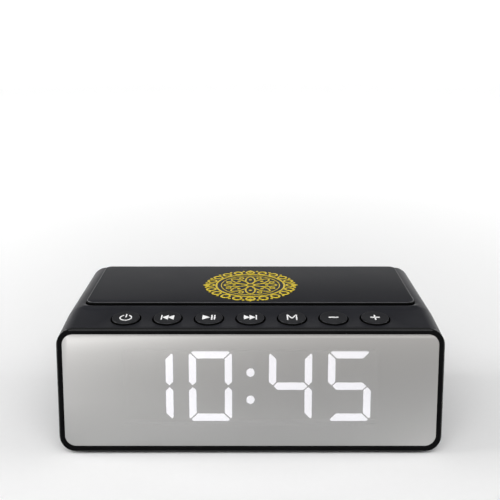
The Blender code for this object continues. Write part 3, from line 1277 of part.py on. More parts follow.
def build_ports(shell, insulator):
    """Power socket with its tongue, line-out jack and card slot, with their mouths at the rear."""
    shape = bmesh.new()
    half = USB_WIDTH / 2
    low = (USB_X - half, PORT_Y - USB_LENGTH, ON_BOARD)
    add_box(shape, low, (USB_X + half, PORT_Y, ON_BOARD + USB_HEIGHT))
    socket = add_piece("usb_c_socket", shape, shell)
    hollow = bmesh.new()
    wall = USB_WALL
    low = (USB_X - half + wall, PORT_Y - USB_LENGTH + wall, ON_BOARD + wall)
    add_box(hollow, low, (USB_X + half - wall, PORT_Y + OVERRUN, ON_BOARD + USB_HEIGHT - wall))
    cut(socket, hollow)
    shape = bmesh.new()
    half = TONGUE_WIDTH / 2
    z = ON_BOARD + (USB_HEIGHT - TONGUE_THICKNESS) / 2
    low = (USB_X - half, PORT_Y - USB_LENGTH + wall + CLEARANCE, z)
    add_box(shape, low, (USB_X + half, PORT_Y - CLEARANCE, z + TONGUE_THICKNESS))
    add_piece("usb_c_tongue", shape, insulator)

    shape = bmesh.new()
    half = AUX_BODY_WIDTH / 2
    top = ON_BOARD + AUX_BODY_HEIGHT
    add_box(shape, (AUX_X - half, PORT_Y - AUX_BODY_LENGTH, ON_BOARD), (AUX_X + half, PORT_Y, top))
    jack = add_piece("aux_jack", shape, insulator)
    place = Matrix.Translation((AUX_X, PORT_Y, ON_BOARD + AUX_BODY_HEIGHT / 2)) @ ALONG_Y
    nose = bmesh.new()
    rod(nose, place, AUX_NOSE_RADIUS, -MERGED, AUX_NOSE_LENGTH, ROUND_SIDES)
    join(jack, nose)
    bore = bmesh.new()
    rod(bore, place, AUX_BORE_RADIUS, -AUX_BORE_DEPTH, AUX_NOSE_LENGTH + OVERRUN, SMALL_SIDES)
    cut(jack, bore)

    shape = bmesh.new()
    half = CARD_WIDTH / 2
    low = (CARD_X - half, PORT_Y - CARD_LENGTH, ON_BOARD)
    add_box(shape, low, (CARD_X + half, PORT_Y, ON_BOARD + CARD_HEIGHT))
    slot = add_piece("card_slot", shape, shell)
    hollow = bmesh.new()
    wall = CARD_WALL
    low = (CARD_X - half + wall, PORT_Y - CARD_LENGTH + wall, ON_BOARD + wall)
    add_box(hollow, low, (CARD_X + half - wall, PORT_Y + OVERRUN, ON_BOARD + CARD_HEIGHT - wall))
    cut(slot, hollow)


def build_battery(material):
    """Wrapped rechargeable cell lying in its cradle."""
    shape = bmesh.new()
    half = CELL_LENGTH / 2
    edge = CELL_RADIUS - CELL_EDGE
    shoulder = half - CELL_NUB_HEIGHT
    profile = [
        (0, -half), (edge, -half), (CELL_RADIUS, CELL_EDGE - half), (CELL_RADIUS, shoulder - CELL_EDGE),
        (edge, shoulder), (CELL_NUB_RADIUS, shoulder), (CELL_NUB_RADIUS, half), (0, half),
    ]
    turn(shape, profile, Matrix.Translation((CELL_X, CELL_Y, CELL_Z)) @ ALONG_X)
    add_piece("battery_cell", shape, material)


def build_base_screws(steel):
    """Four screws that pull the base up to the posts of the upper shell."""
    z = UNDERSIDE + COUNTERBORE_DEPTH - CLEARANCE
    large_screws("base_screw", [Matrix.Translation((x, y, z)) for x, y in post_places()], steel)


def smooth_route(points, per_stretch=4):
    """Points of a smooth curve through the given ones."""
    ends = [points[0] * 2 - points[1]] + list(points) + [points[-1] * 2 - points[-2]]
    route = []
    for a, b, c, d in zip(ends, ends[1:], ends[2:], ends[3:]):
        for i in range(per_stretch):
            t = i / per_stretch
            route.append(
                b + (c - a) * (t / 2) + (a * 2 - b * 5 + c * 4 - d) * (t * t / 2)
                + (b * 3 - a - c * 3 + d) * (t ** 3 / 2)
            )
    route.append(points[-1])
    return route


def add_lead(name, points, material):
    """Adds a round lead along a smooth route."""
    curve = bpy.data.curves.new(name, "CURVE")
    curve.dimensions = "3D"
    curve.bevel_depth = LEAD_RADIUS
    curve.bevel_resolution = 2
    curve.use_fill_caps = True
    spline = curve.splines.new("POLY")
    route = smooth_route(points)
    spline.points.add(len(route) - 1)
    for point, place in zip(spline.points, route):
        point.co = (*place, 1)
    curve.materials.append(material)
    lead = bpy.data.objects.new(name, curve)
    bpy.context.scene.collection.objects.link(lead)


def add_ribbon(name, x, points, material):
    """Adds a flat ribbon, which lies across X, along a smooth route."""
    route = [Vector((point.y, point.z)) for point in smooth_route(points)]
    half = RIBBON_WIDTH / 2
    rings = []
    for i, (y, z) in enumerate(route):
        along = (route[min(i + 1, len(route) - 1)] - route[max(i - 1, 0)]).normalized()
        aside = Vector((-along.y, along.x)) * (RIBBON_THICKNESS / 2)
        corners = ((-half, 1), (half, 1), (half, -1), (-half, -1))
        rings.append([(x + dx, y + side * aside.x, z + side * aside.y) for dx, side in corners])
    shape = bmesh.new()
    loft(shape, rings)
    add_piece(name, shape, material)


def build_leads(lead, ribbon):
    """Leads of the battery and the speaker, and the ribbons of the display and the keys."""
    entry = MAIN_BOARD_TOP + LEAD_PLUG_HEIGHT / 2
    plug_x, plug_y = battery_plug_place()
    mouth = plug_y - LEAD_PLUG_SIZE / 2 - CLEARANCE
    start = CELL_X + CELL_LENGTH / 2 + CLEARANCE
    points = [
        Vector((start, CELL_Y, CELL_Z)),
        Vector((start + LEAD_SWAY, CELL_Y, CELL_Z)),
        Vector((plug_x, (CELL_Y + mouth) / 2, (CELL_Z + entry) / 2)),
        Vector((plug_x, mouth - LEAD_SWAY, entry)),
        Vector((plug_x, mouth, entry)),
    ]
    add_lead("battery_lead", points, lead)

    plug_x, plug_y = speaker_plug_place()
    mouth = plug_x - LEAD_PLUG_SIZE / 2 - CLEARANCE
    reach = (BASKET_RADIUS + BASKET_FLOOR_RADIUS) / 2 + 2 * LEAD_RADIUS
    tab_y = REAR_INNER_Y - (SPEAKER_FACE + BASKET_SHOULDER_DEPTH + BASKET_FLOOR) / 2
    tab_x = SPEAKER_X + reach * math.cos(LEAD_TAB_ANGLE)
    tab_z = SPEAKER_Z - reach * math.sin(LEAD_TAB_ANGLE)
    points = [
        Vector((tab_x, tab_y, tab_z)),
        Vector((tab_x + LEAD_SWAY, tab_y, tab_z - LEAD_SWAY)),
        Vector(((tab_x + mouth) / 2, (tab_y + plug_y) / 2, entry + LEAD_SWAY / 2)),
        Vector((mouth - LEAD_SWAY, plug_y, entry)),
        Vector((mouth, plug_y, entry)),
    ]
    add_lead("speaker_lead", points, lead)

    display_x, key_x = ribbon_xs()
    mouth = ribbon_socket_y() - RIBBON_SOCKET_LENGTH / 2 - CLEARANCE
    entry = MAIN_BOARD_TOP + RIBBON_SOCKET_HEIGHT / 2
    start_y = FRONT_Y + DISPLAY_BOARD_BACK + CLEARANCE + RIBBON_THICKNESS
    bottom = DIGIT_Z - MODULE_HALF_HEIGHT + DISPLAY_BOARD_INSET
    route = [
        Vector((0, start_y, bottom + RIBBON_BEND)),
        Vector((0, start_y, bottom)),
        Vector((0, start_y + RIBBON_BEND, entry + CLEARANCE)),
        Vector((0, (start_y + mouth) / 2, entry)),
        Vector((0, mouth, entry)),
    ]
    add_ribbon("display_ribbon", display_x, route, ribbon)

    cos, sin = math.cos(DECK_ANGLE), math.sin(DECK_ANGLE)
    w = KEY_BOARD_BOTTOM_W - CLEARANCE - RIBBON_THICKNESS
    u = KEY_BOARD_BACK - RIBBON_BEND / 2
    start_y = FRONT_Y + KEY_ROW_DISTANCE + u * cos - w * sin
    start_z = KEY_ROW_Z + u * sin + w * cos
    fall_y = start_y + 2 * RIBBON_BEND
    route = [
        Vector((0, start_y, start_z)),
        Vector((0, start_y + RIBBON_BEND, start_z - CLEARANCE)),
        Vector((0, fall_y, start_z - 2 * RIBBON_BEND)),
        Vector((0, fall_y, entry + 3 * RIBBON_BEND)),
        Vector((0, fall_y + RIBBON_BEND, entry + RIBBON_BEND / 2)),
        Vector((0, mouth - RIBBON_BEND, entry)),
        Vector((0, mouth, entry)),
    ]
    add_ribbon("key_ribbon", key_x, route, ribbon)


def main():
    """Builds the whole clock."""
    clear_scene()
    shell = surface("satin_black_plastic", (0.024, 0.025, 0.028), 0.42)
    gloss = surface("gloss_black_plastic", (0.008, 0.008, 0.009), 0.08)
    panel = surface("panel_plastic", (0.028, 0.028, 0.031), 0.5)
    cap = surface("key_plastic", (0.016, 0.017, 0.019), 0.38)
    mirror = surface("mirror_lens", (0.72, 0.72, 0.71), 0.06, 1.0, alpha=0.85)
    gold = surface("gold_foil", (0.83, 0.58, 0.10), 0.3, 1.0)
    rubber = surface("black_rubber", (0.02, 0.02, 0.02), 0.85)
    tape = surface("adhesive_tape", (0.10, 0.10, 0.10), 0.7)
    lit = surface("white_diffuser", (0.93, 0.94, 1.0), 0.5, glow=4.0)
    module = surface("display_plastic", (0.03, 0.03, 0.03), 0.6)
    board = surface("green_board", (0.03, 0.16, 0.07), 0.4)
    steel = surface("zinc_steel", (0.56, 0.57, 0.58), 0.3, 1.0)
    nylon = surface("port_nylon", (0.05, 0.05, 0.05), 0.5)
    paper = surface("cone_paper", (0.03, 0.03, 0.03), 0.8)
    magnet = surface("magnet_ferrite", (0.09, 0.09, 0.10), 0.45, 0.5)
    copper = surface("coil_copper", (0.55, 0.27, 0.12), 0.4, 1.0)
    wrap = surface("cell_wrap", (0.05, 0.16, 0.42), 0.4)
    lead = surface("lead_insulation", (0.45, 0.03, 0.03), 0.5)
    ribbon = surface("ribbon_film", (0.70, 0.70, 0.68), 0.5)

    place = (0, FRONT_Y + KEY_ROW_DISTANCE, KEY_ROW_Z)
    deck = guide("deck_frame", None, place, DECK_ANGLE)
    build_housing(deck, shell)
    build_base(shell)
    build_feet(rubber)
    build_bezel(gloss)
    build_lens(mirror, tape)
    build_diffuser(lit)
    build_display(module, board, steel)
    build_top_panel(panel, tape)
    build_badge(gold)
    build_keys(deck, cap)
    build_key_board(deck, board, steel)
    build_rear_panel(shell, steel)
    build_speaker(shell, rubber, magnet, paper, magnet, copper, steel)
    build_main_board(board, steel)
    build_ports(steel, nylon)
    build_battery(wrap)
    build_base_screws(steel)
    build_leads(lead, ribbon)


main()
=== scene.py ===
"""Looks of the azan clock: its smooth case, mirror front, keys, badge, rear and studio.

All lengths are in metres. The front face looks along -Y and the feet stand on z = 0.
"""

import logging
import math
from dataclasses import dataclass, field
from enum import Enum
from typing import Callable, Iterable, Optional, Sequence, Union

import bmesh
import bpy
from mathutils import Matrix, Vector


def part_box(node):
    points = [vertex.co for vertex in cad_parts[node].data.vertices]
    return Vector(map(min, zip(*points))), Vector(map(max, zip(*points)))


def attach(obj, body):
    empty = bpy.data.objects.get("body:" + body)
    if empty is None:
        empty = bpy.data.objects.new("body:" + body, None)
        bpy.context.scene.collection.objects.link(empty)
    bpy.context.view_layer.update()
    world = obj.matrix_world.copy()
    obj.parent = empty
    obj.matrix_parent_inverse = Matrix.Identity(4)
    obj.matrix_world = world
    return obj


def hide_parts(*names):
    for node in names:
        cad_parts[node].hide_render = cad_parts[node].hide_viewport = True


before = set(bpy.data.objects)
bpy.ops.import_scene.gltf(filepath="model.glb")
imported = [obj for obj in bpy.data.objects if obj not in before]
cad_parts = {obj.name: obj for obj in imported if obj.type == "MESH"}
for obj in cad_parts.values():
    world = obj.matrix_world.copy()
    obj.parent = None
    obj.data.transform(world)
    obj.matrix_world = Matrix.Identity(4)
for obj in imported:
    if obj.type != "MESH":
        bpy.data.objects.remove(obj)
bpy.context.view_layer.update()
LOG = logging.getLogger("azan_clock")

Colour = tuple[float, float, float]
Point = Sequence[float]
MM = 0.001
HAIR = 0.01 * MM
LARGE_FACE = 0.004  # square metres, and less than an end of the case or the front has
ORIGIN = Matrix.Identity(4)
ROOT_BODY = "case"


class Part(Enum):
    """What a selection in edit mode is made of."""

    VERTEX = "VERT"
    EDGE = "EDGE"
    FACE = "FACE"


class Join(Enum):
    """How one workpiece acts on another."""

    CUT = "DIFFERENCE"
    FUSE = "UNION"


class Side(Enum):
    """Which side of a cutting plane stays."""

    BOTH = "both"
    ABOVE = "above"
    BELOW = "below"


# ---------------------------------------------------------------- shader maths


class Signal:
    """A shader socket that takes part in Python sums."""

    def __init__(self, bench: "ShaderBench", socket: bpy.types.NodeSocket) -> None:
        """Keeps the socket and the bench that it lies on."""
        self.bench = bench
        self.socket = socket

    def _sum(self, operation: str, first: "Term", second: "Term") -> "Signal":
        """Adds a Math node.

        Args:
            operation: Name of the Math node's operation.
            first: Left side of the sum.
            second: Right side of the sum.

        Returns:
            The node's value.
        """
        node = self.bench.node("ShaderNodeMath", {"operation": operation}, {0: first, 1: second})
        return Signal(self.bench, node.outputs[0])

    def __add__(self, other: "Term") -> "Signal":
        """Sum of the signal and a term."""
        return self._sum("ADD", self, other)

    def __radd__(self, other: "Term") -> "Signal":
        """Sum of a term and the signal."""
        return self._sum("ADD", other, self)

    def __sub__(self, other: "Term") -> "Signal":
        """Signal less a term."""
        return self._sum("SUBTRACT", self, other)

    def __rsub__(self, other: "Term") -> "Signal":
        """Term less the signal."""
        return self._sum("SUBTRACT", other, self)

    def __mul__(self, other: "Term") -> "Signal":
        """Product of the signal and a term."""
        return self._sum("MULTIPLY", self, other)

    def __rmul__(self, other: "Term") -> "Signal":
        """Product of a term and the signal."""
        return self._sum("MULTIPLY", other, self)

    def __truediv__(self, other: "Term") -> "Signal":
        """Signal divided by a term."""
        return self._sum("DIVIDE", self, other)

    def __rtruediv__(self, other: "Term") -> "Signal":
        """Term divided by the signal."""
        return self._sum("DIVIDE", other, self)

    def __pow__(self, other: "Term") -> "Signal":
        """Signal raised to a term."""
        return self._sum("POWER", self, other)


Term = Union[Signal, float]
Value = Union[Signal, float, Sequence[float]]


class ShaderBench:
    """A material being wired, with a Principled shader at its end."""

    def __init__(self, name: str) -> None:
        """Starts a material of this name.

        Args:
            name: Name of the material.
        """
        self.material = bpy.data.materials.new(name)
        self.material.use_nodes = True
        self.tree = self.material.node_tree
        self.shader = self.tree.nodes["Principled BSDF"]
        self._place: Optional[Signal] = None

    def node(
        self, kind: str, settings: Optional[dict] = None, inputs: Optional[dict] = None
    ) -> bpy.types.Node:
        """Adds a node.

        Args:
            kind: Blender's name for the node's type.
            settings: Properties of the node, set before its sockets.
            inputs: Values or signals by socket name or number.

        Returns:
            The new node.
        """
        node = self.tree.nodes.new(kind)
        for key, value in (settings or {}).items():
            setattr(node, key, value)
        for key, value in (inputs or {}).items():
            self.feed(node.inputs[key], value)
        return node

    def feed(self, socket: bpy.types.NodeSocket, value: Value) -> None:
        """Links a signal to a socket, or sets the socket's own value.

        Args:
            socket: The socket to feed.
            value: A signal to link, or a value to set.
        """
        if isinstance(value, Signal):
            self.tree.links.new(value.socket, socket)
        elif isinstance(value, (int, float)):
            socket.default_value = value
        else:
            wide = len(socket.default_value) == 4 and len(value) == 3
            socket.default_value = (*value, 1.0) if wide else tuple(value)

    def set(self, name: str, value: Value) -> None:
        """Feeds one socket of the Principled shader."""
        self.feed(self.shader.inputs[name], value)

    def place(self) -> Signal:
        """Object coordinates of the piece.

        Returns:
            The one signal that all of the material's patterns share.
        """
        if self._place is None:
            self._place = Signal(self, self.node("ShaderNodeTexCoord").outputs["Object"])
        return self._place

    def axis(self, letter: str) -> Signal:
        """One coordinate of the piece, by its letter."""
        split = self.node("ShaderNodeSeparateXYZ", inputs={0: self.place()})
        return Signal(self, split.outputs[letter])

    def noise(self, grain: float, detail: float = 2.0, stretch: Point = (1, 1, 1)) -> Signal:
        """Soft random pattern.

        Args:
            grain: Size of a blotch in metres.
            detail: Number of finer octaves.
            stretch: How much denser the pattern is along each axis.

        Returns:
            Values about 0.5.
        """
        spot = self.place()
        if tuple(stretch) != (1, 1, 1):
            mapping = self.node("ShaderNodeMapping", inputs={"Vector": spot, "Scale": stretch})
            spot = Signal(self, mapping.outputs[0])
        sockets = {"Vector": spot, "Scale": 1 / grain, "Detail": detail}
        return Signal(self, self.node("ShaderNodeTexNoise", inputs=sockets).outputs["Fac"])

    def cells(self, grain: float) -> Signal:
        """Distance to the nearest of scattered points, about a grain apart."""
        sockets = {"Vector": self.place(), "Scale": 1 / grain}
        return Signal(self, self.node("ShaderNodeTexVoronoi", inputs=sockets).outputs["Distance"])

    def spread(
        self, signal: Signal, low: float, high: float, out_low: float = 0.0, out_high: float = 1.0
    ) -> Signal:
        """Maps a range of a signal onto another range, and clamps it there."""
        sockets = {0: signal, 1: low, 2: high, 3: out_low, 4: out_high}
        return Signal(self, self.node("ShaderNodeMapRange", {"clamp": True}, sockets).outputs[0])

    def mix(self, share: Value, first: Value, second: Value) -> Signal:
        """Colour between two colours."""
        sockets = {0: share, 6: first, 7: second}
        return Signal(self, self.node("ShaderNodeMix", {"data_type": "RGBA"}, sockets).outputs[2])

    def scaled(self, colour: Signal, factor: Term) -> Signal:
        """Colour times a number."""
        sockets = {0: colour, "Scale": factor}
        return Signal(self, self.node("ShaderNodeVectorMath", {"operation": "SCALE"}, sockets).outputs[0])

    def relief(self, height: Signal, depth: float) -> None:
        """Feeds the shader's normal with a bump of a real depth."""
        sockets = {"Height": height, "Distance": depth}
        self.set("Normal", Signal(self, self.node("ShaderNodeBump", inputs=sockets).outputs[0]))


# -------------------------------------------------------------------- finishes


@dataclass(frozen=True)
class Moulded:
    """Moulded plastic with a fine spark texture and a little unevenness of gloss."""

    name: str
    colour: Colour
    roughness: float = 0.45
    specular: float = 0.5
    coat: float = 0.0
    grain: float = 0.35 * MM
    relief: float = 0.004 * MM
    unevenness: float = 0.06
    opacity: float = 1.0

    def build(self) -> bpy.types.Material:
        """Makes the material.

        Returns:
            The material.
        """
        bench = ShaderBench(self.name)
        bench.set("Alpha", self.opacity)
        cloud = bench.noise(14 * MM, 3.0)
        fine = bench.noise(self.grain, 2.0)
        light = tuple(min(1.0, c * 1.18 + 0.001) for c in self.colour)
        bench.set("Base Color", bench.mix(bench.spread(cloud, 0.35, 0.65), self.colour, light))
        bench.set("Roughness", self.roughness + (cloud - 0.5) * self.unevenness)
        bench.set("Specular IOR Level", self.specular)
        bench.set("Coat Weight", self.coat)
        bench.set("Coat Roughness", 0.04)
        bench.relief(fine, self.relief)
        return bench.material


@dataclass(frozen=True)
class Metal:
    """Bare or plated metal with fine brushing."""

    name: str
    colour: Colour
    roughness: float = 0.3
    brushing: Point = (1, 1, 1)
    relief: float = 0.003 * MM
    metallic: float = 1.0

    def build(self) -> bpy.types.Material:
        """Makes the material.

        Returns:
            The material.
        """
        bench = ShaderBench(self.name)
        streak = bench.noise(0.5 * MM, 2.0, self.brushing)
        dull = tuple(c * 0.82 for c in self.colour)
        bench.set("Base Color", bench.mix(bench.spread(streak, 0.3, 0.7), dull, self.colour))
        bench.set("Metallic", self.metallic)
        bench.set("Roughness", self.roughness + (streak - 0.5) * 0.12)
        bench.relief(streak, self.relief)
        return bench.material


@dataclass(frozen=True)
class Mottled:
    """Dull stuff such as rubber, pressed paper, ferrite, tape or film."""

    name: str
    colour: Colour
    second: Colour
    roughness: float = 0.7
    metallic: float = 0.0
    grain: float = 0.4 * MM
    relief: float = 0.02 * MM

    def build(self) -> bpy.types.Material:
        """Makes the material.

        Returns:
            The material.
        """
        bench = ShaderBench(self.name)
        fleck = bench.noise(self.grain, 4.0)
        bench.set("Base Color", bench.mix(bench.spread(fleck, 0.35, 0.7), self.colour, self.second))
        bench.set("Metallic", self.metallic)
        bench.set("Roughness", self.roughness + (fleck - 0.5) * 0.1)
        bench.relief(fleck, self.relief)
        return bench.material


@dataclass(frozen=True)
class CircuitBoard:
    """Solder mask over a fine weave, with tracks and gold pads."""

    name: str
    mask: Colour = (0.010, 0.085, 0.030)
    track: Colour = (0.020, 0.150, 0.060)
    pad: Colour = (0.75, 0.55, 0.22)

    def build(self) -> bpy.types.Material:
        """Makes the material.

        Returns:
            The material.
        """
        bench = ShaderBench(self.name)
        lines = bench.spread(bench.noise(3 * MM, 0.0, (1, 0.12, 1)), 0.50, 0.52)
        dots = bench.spread(bench.cells(2.6 * MM), 0.16, 0.20)
        ground = bench.mix(lines, self.mask, self.track)
        bench.set("Base Color", bench.mix(1 - dots, ground, self.pad))
        bench.set("Metallic", (1 - dots) * 0.9)
        bench.set("Roughness", 0.35 - (1 - dots) * 0.1)
        bench.relief(lines + (1 - dots), 0.02 * MM)
        return bench.material


@dataclass(frozen=True)
class HalfMirror:
    """Half-silvered lens: it reflects the room and lets bright strokes behind its window through. Its colour
    also carries a painted reflection: lighter at the bottom than at the top, and lighter still toward the
    left, most at the upper left, and in the lower right corner.
    """

    name: str = "half_mirror"
    # bright, high and low are painted reflection tones: the glare at the left and the lower right, and the
    # lens's tone at the top and at the bottom.
    bright: Colour = (0.97, 0.96, 0.945)
    high: Colour = (0.445, 0.433, 0.420)
    low: Colour = (0.580, 0.580, 0.575)
    opacity: float = 0.72
    roughness: float = 0.06
    window_middle: float = 29.2 * MM
    window_across: tuple[float, float] = (51.5 * MM, 53.5 * MM)
    window_up: tuple[float, float] = (15.7 * MM, 16.9 * MM)

    def window(self, bench: ShaderBench) -> Signal:
        """Share of the window over the digits: 1 inside it and 0 outside.

        Args:
            bench: The lens's material.

        Returns:
            The share, with a soft edge.
        """
        x = bench.axis("X")
        z = bench.axis("Z") - self.window_middle
        across, up = [(low**2, high**2) for low, high in (self.window_across, self.window_up)]
        return bench.spread(x * x, *across, 1.0, 0.0) * bench.spread(z * z, *up, 1.0, 0.0)

    def build(self) -> bpy.types.Material:
        """Makes the material.

        Returns:
            The material.
        """
        bench = ShaderBench(self.name)
        # Painted reflection: the colour runs from the low tone at the bottom to the high tone at the top,
        # with painted glare toward the left, strongest at the upper left, and in the lower right corner.
        across = bench.spread(bench.axis("X"), -0.078, 0.075)
        up = bench.spread(bench.axis("Z"), 0.004, 0.052)
        left = (1 - across) ** 3 * bench.spread(up, 0.0, 0.4, 0.12, 0.47)
        foot = across**8 * (1 - up) ** 3 * 0.5
        tone = bench.mix(up, self.low, self.high)
        tone = bench.mix(bench.spread(left + foot, 0.0, 1.0), tone, self.bright)
        cloud = bench.noise(40 * MM, 1.0)
        alpha = 1 - self.window(bench) * (1 - self.opacity)
        bench.set("Base Color", bench.scaled(tone, self.opacity / alpha))
        bench.set("Metallic", 1.0)
        bench.set("Roughness", self.roughness + (cloud - 0.5) * 0.02)
        bench.set("Alpha", alpha)
        return bench.material


@dataclass(frozen=True)
class Glow:
    """Lit light guide."""

    name: str
    colour: Colour = (0.93, 0.92, 1.0)
    strength: float = 1.85

    def build(self) -> bpy.types.Material:
        """Makes the material.

        Returns:
            The material.
        """
        bench = ShaderBench(self.name)
        haze = bench.noise(2 * MM, 1.0)
        tint = tuple(c * 0.94 for c in self.colour)
        bench.set("Base Color", (0.8, 0.8, 0.82))
        bench.set("Roughness", 0.4)
        bench.set("Emission Color", bench.mix(haze, self.colour, tint))
        bench.set("Emission Strength", self.strength)
        return bench.material


class Finishes:
    """Every finish of the clock, made once."""

    def __init__(self) -> None:
        """Builds the finishes and keeps them by name."""
        makers = (
            Moulded("satin_case", (0.0130, 0.0134, 0.0168), 0.44, 0.30),
            Moulded("polished_rim", (0.0018, 0.0018, 0.0022), 0.08, 0.30, 0.0, 4 * MM, 0.002 * MM, 0.02),
            Moulded("rim_face", (0.0016, 0.0016, 0.0018), 0.20, 0.04, 0.0, 4 * MM, 0.002 * MM, 0.02),
            # Near-black dull finish, used as painted shade on keyhole walls, the recess trough, the caps'
            # sides and the panel's upright walls.
            Moulded("painted_shade_black", (0.0010, 0.0010, 0.0010), 0.70, 0.05, 0.0, 0.5 * MM, 0.002 * MM, 0.02),
            Moulded("charcoal_panel", (0.0112, 0.0115, 0.0147), 0.46, 0.17, 0.0, 0.25 * MM, 0.005 * MM),
            Moulded("panel_edge", (0.0130, 0.0134, 0.0168), 0.30, 0.50, 0.0, 0.25 * MM, 0.003 * MM),
            Moulded("key_cap", (0.0110, 0.0112, 0.0135), 0.36, 0.32, 0.0, 0.3 * MM, 0.003 * MM),
            Moulded("white_ink", (0.94, 0.94, 0.94), 0.5, 0.4, 0.0, 0.3 * MM, 0.001 * MM),
            Moulded("badge_enamel", (0.0040, 0.0050, 0.0120), 0.3, 0.3, 0.0),
            Moulded("lens_body", (0.02, 0.02, 0.02), 0.1, 0.1, 0.0, 4 * MM, 0.001 * MM, 0.02, 0.03),
            Moulded("black_nylon", (0.012, 0.012, 0.012), 0.5),
            Moulded("matt_module", (0.012, 0.012, 0.012), 0.65, 0.3),
            Moulded("shrink_wrap", (0.02, 0.09, 0.32), 0.3, 0.5, 0.3, 6 * MM, 0.02 * MM),
            Moulded("red_insulation", (0.35, 0.015, 0.012), 0.4),
            Metal("gold", (0.92, 0.70, 0.035), 0.38, (1, 1, 1), 0.02 * MM, 0.30),
            Metal("zinc_steel", (0.58, 0.585, 0.59), 0.28, (4, 1, 1)),
            Metal("copper_wire", (0.72, 0.32, 0.14), 0.35, (1, 8, 1)),
            Mottled("black_rubber", (0.010, 0.010, 0.010), (0.022, 0.022, 0.022), 0.8),
            Mottled(
                "cone_paper", (0.012, 0.012, 0.013), (0.035, 0.035, 0.036), 0.85, 0.0, 0.3 * MM, 0.05 * MM
            ),
            Mottled("ferrite", (0.030, 0.030, 0.034), (0.060, 0.060, 0.065), 0.5, 0.4),
            Mottled("tape", (0.030, 0.030, 0.030), (0.060, 0.060, 0.060), 0.75),
            Mottled("ribbon_film", (0.55, 0.55, 0.52), (0.68, 0.68, 0.66), 0.45),
            CircuitBoard("green_board"),
            HalfMirror(),
            Glow("lit_stroke"),
        )
        self.by_name = {maker.name: maker.build() for maker in makers}

    def dress(self, piece: bpy.types.Object, name: str) -> None:
        """Gives a piece one finish all over."""
        piece.data.materials.clear()
        piece.data.materials.append(self.by_name[name])

    def dress_node(self, node: str, name: str) -> None:
        """Gives a CAD node one finish through its object's slots."""
        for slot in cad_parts[node].material_slots:
            slot.material = self.by_name[name]


# ------------------------------------------------------------------- modelling


def clear_selection() -> None:
    """Leaves edit mode and deselects every object."""
    if bpy.context.object is not None and bpy.context.object.mode != "OBJECT":
        bpy.ops.object.mode_set(mode="OBJECT")
    bpy.ops.object.select_all(action="DESELECT")


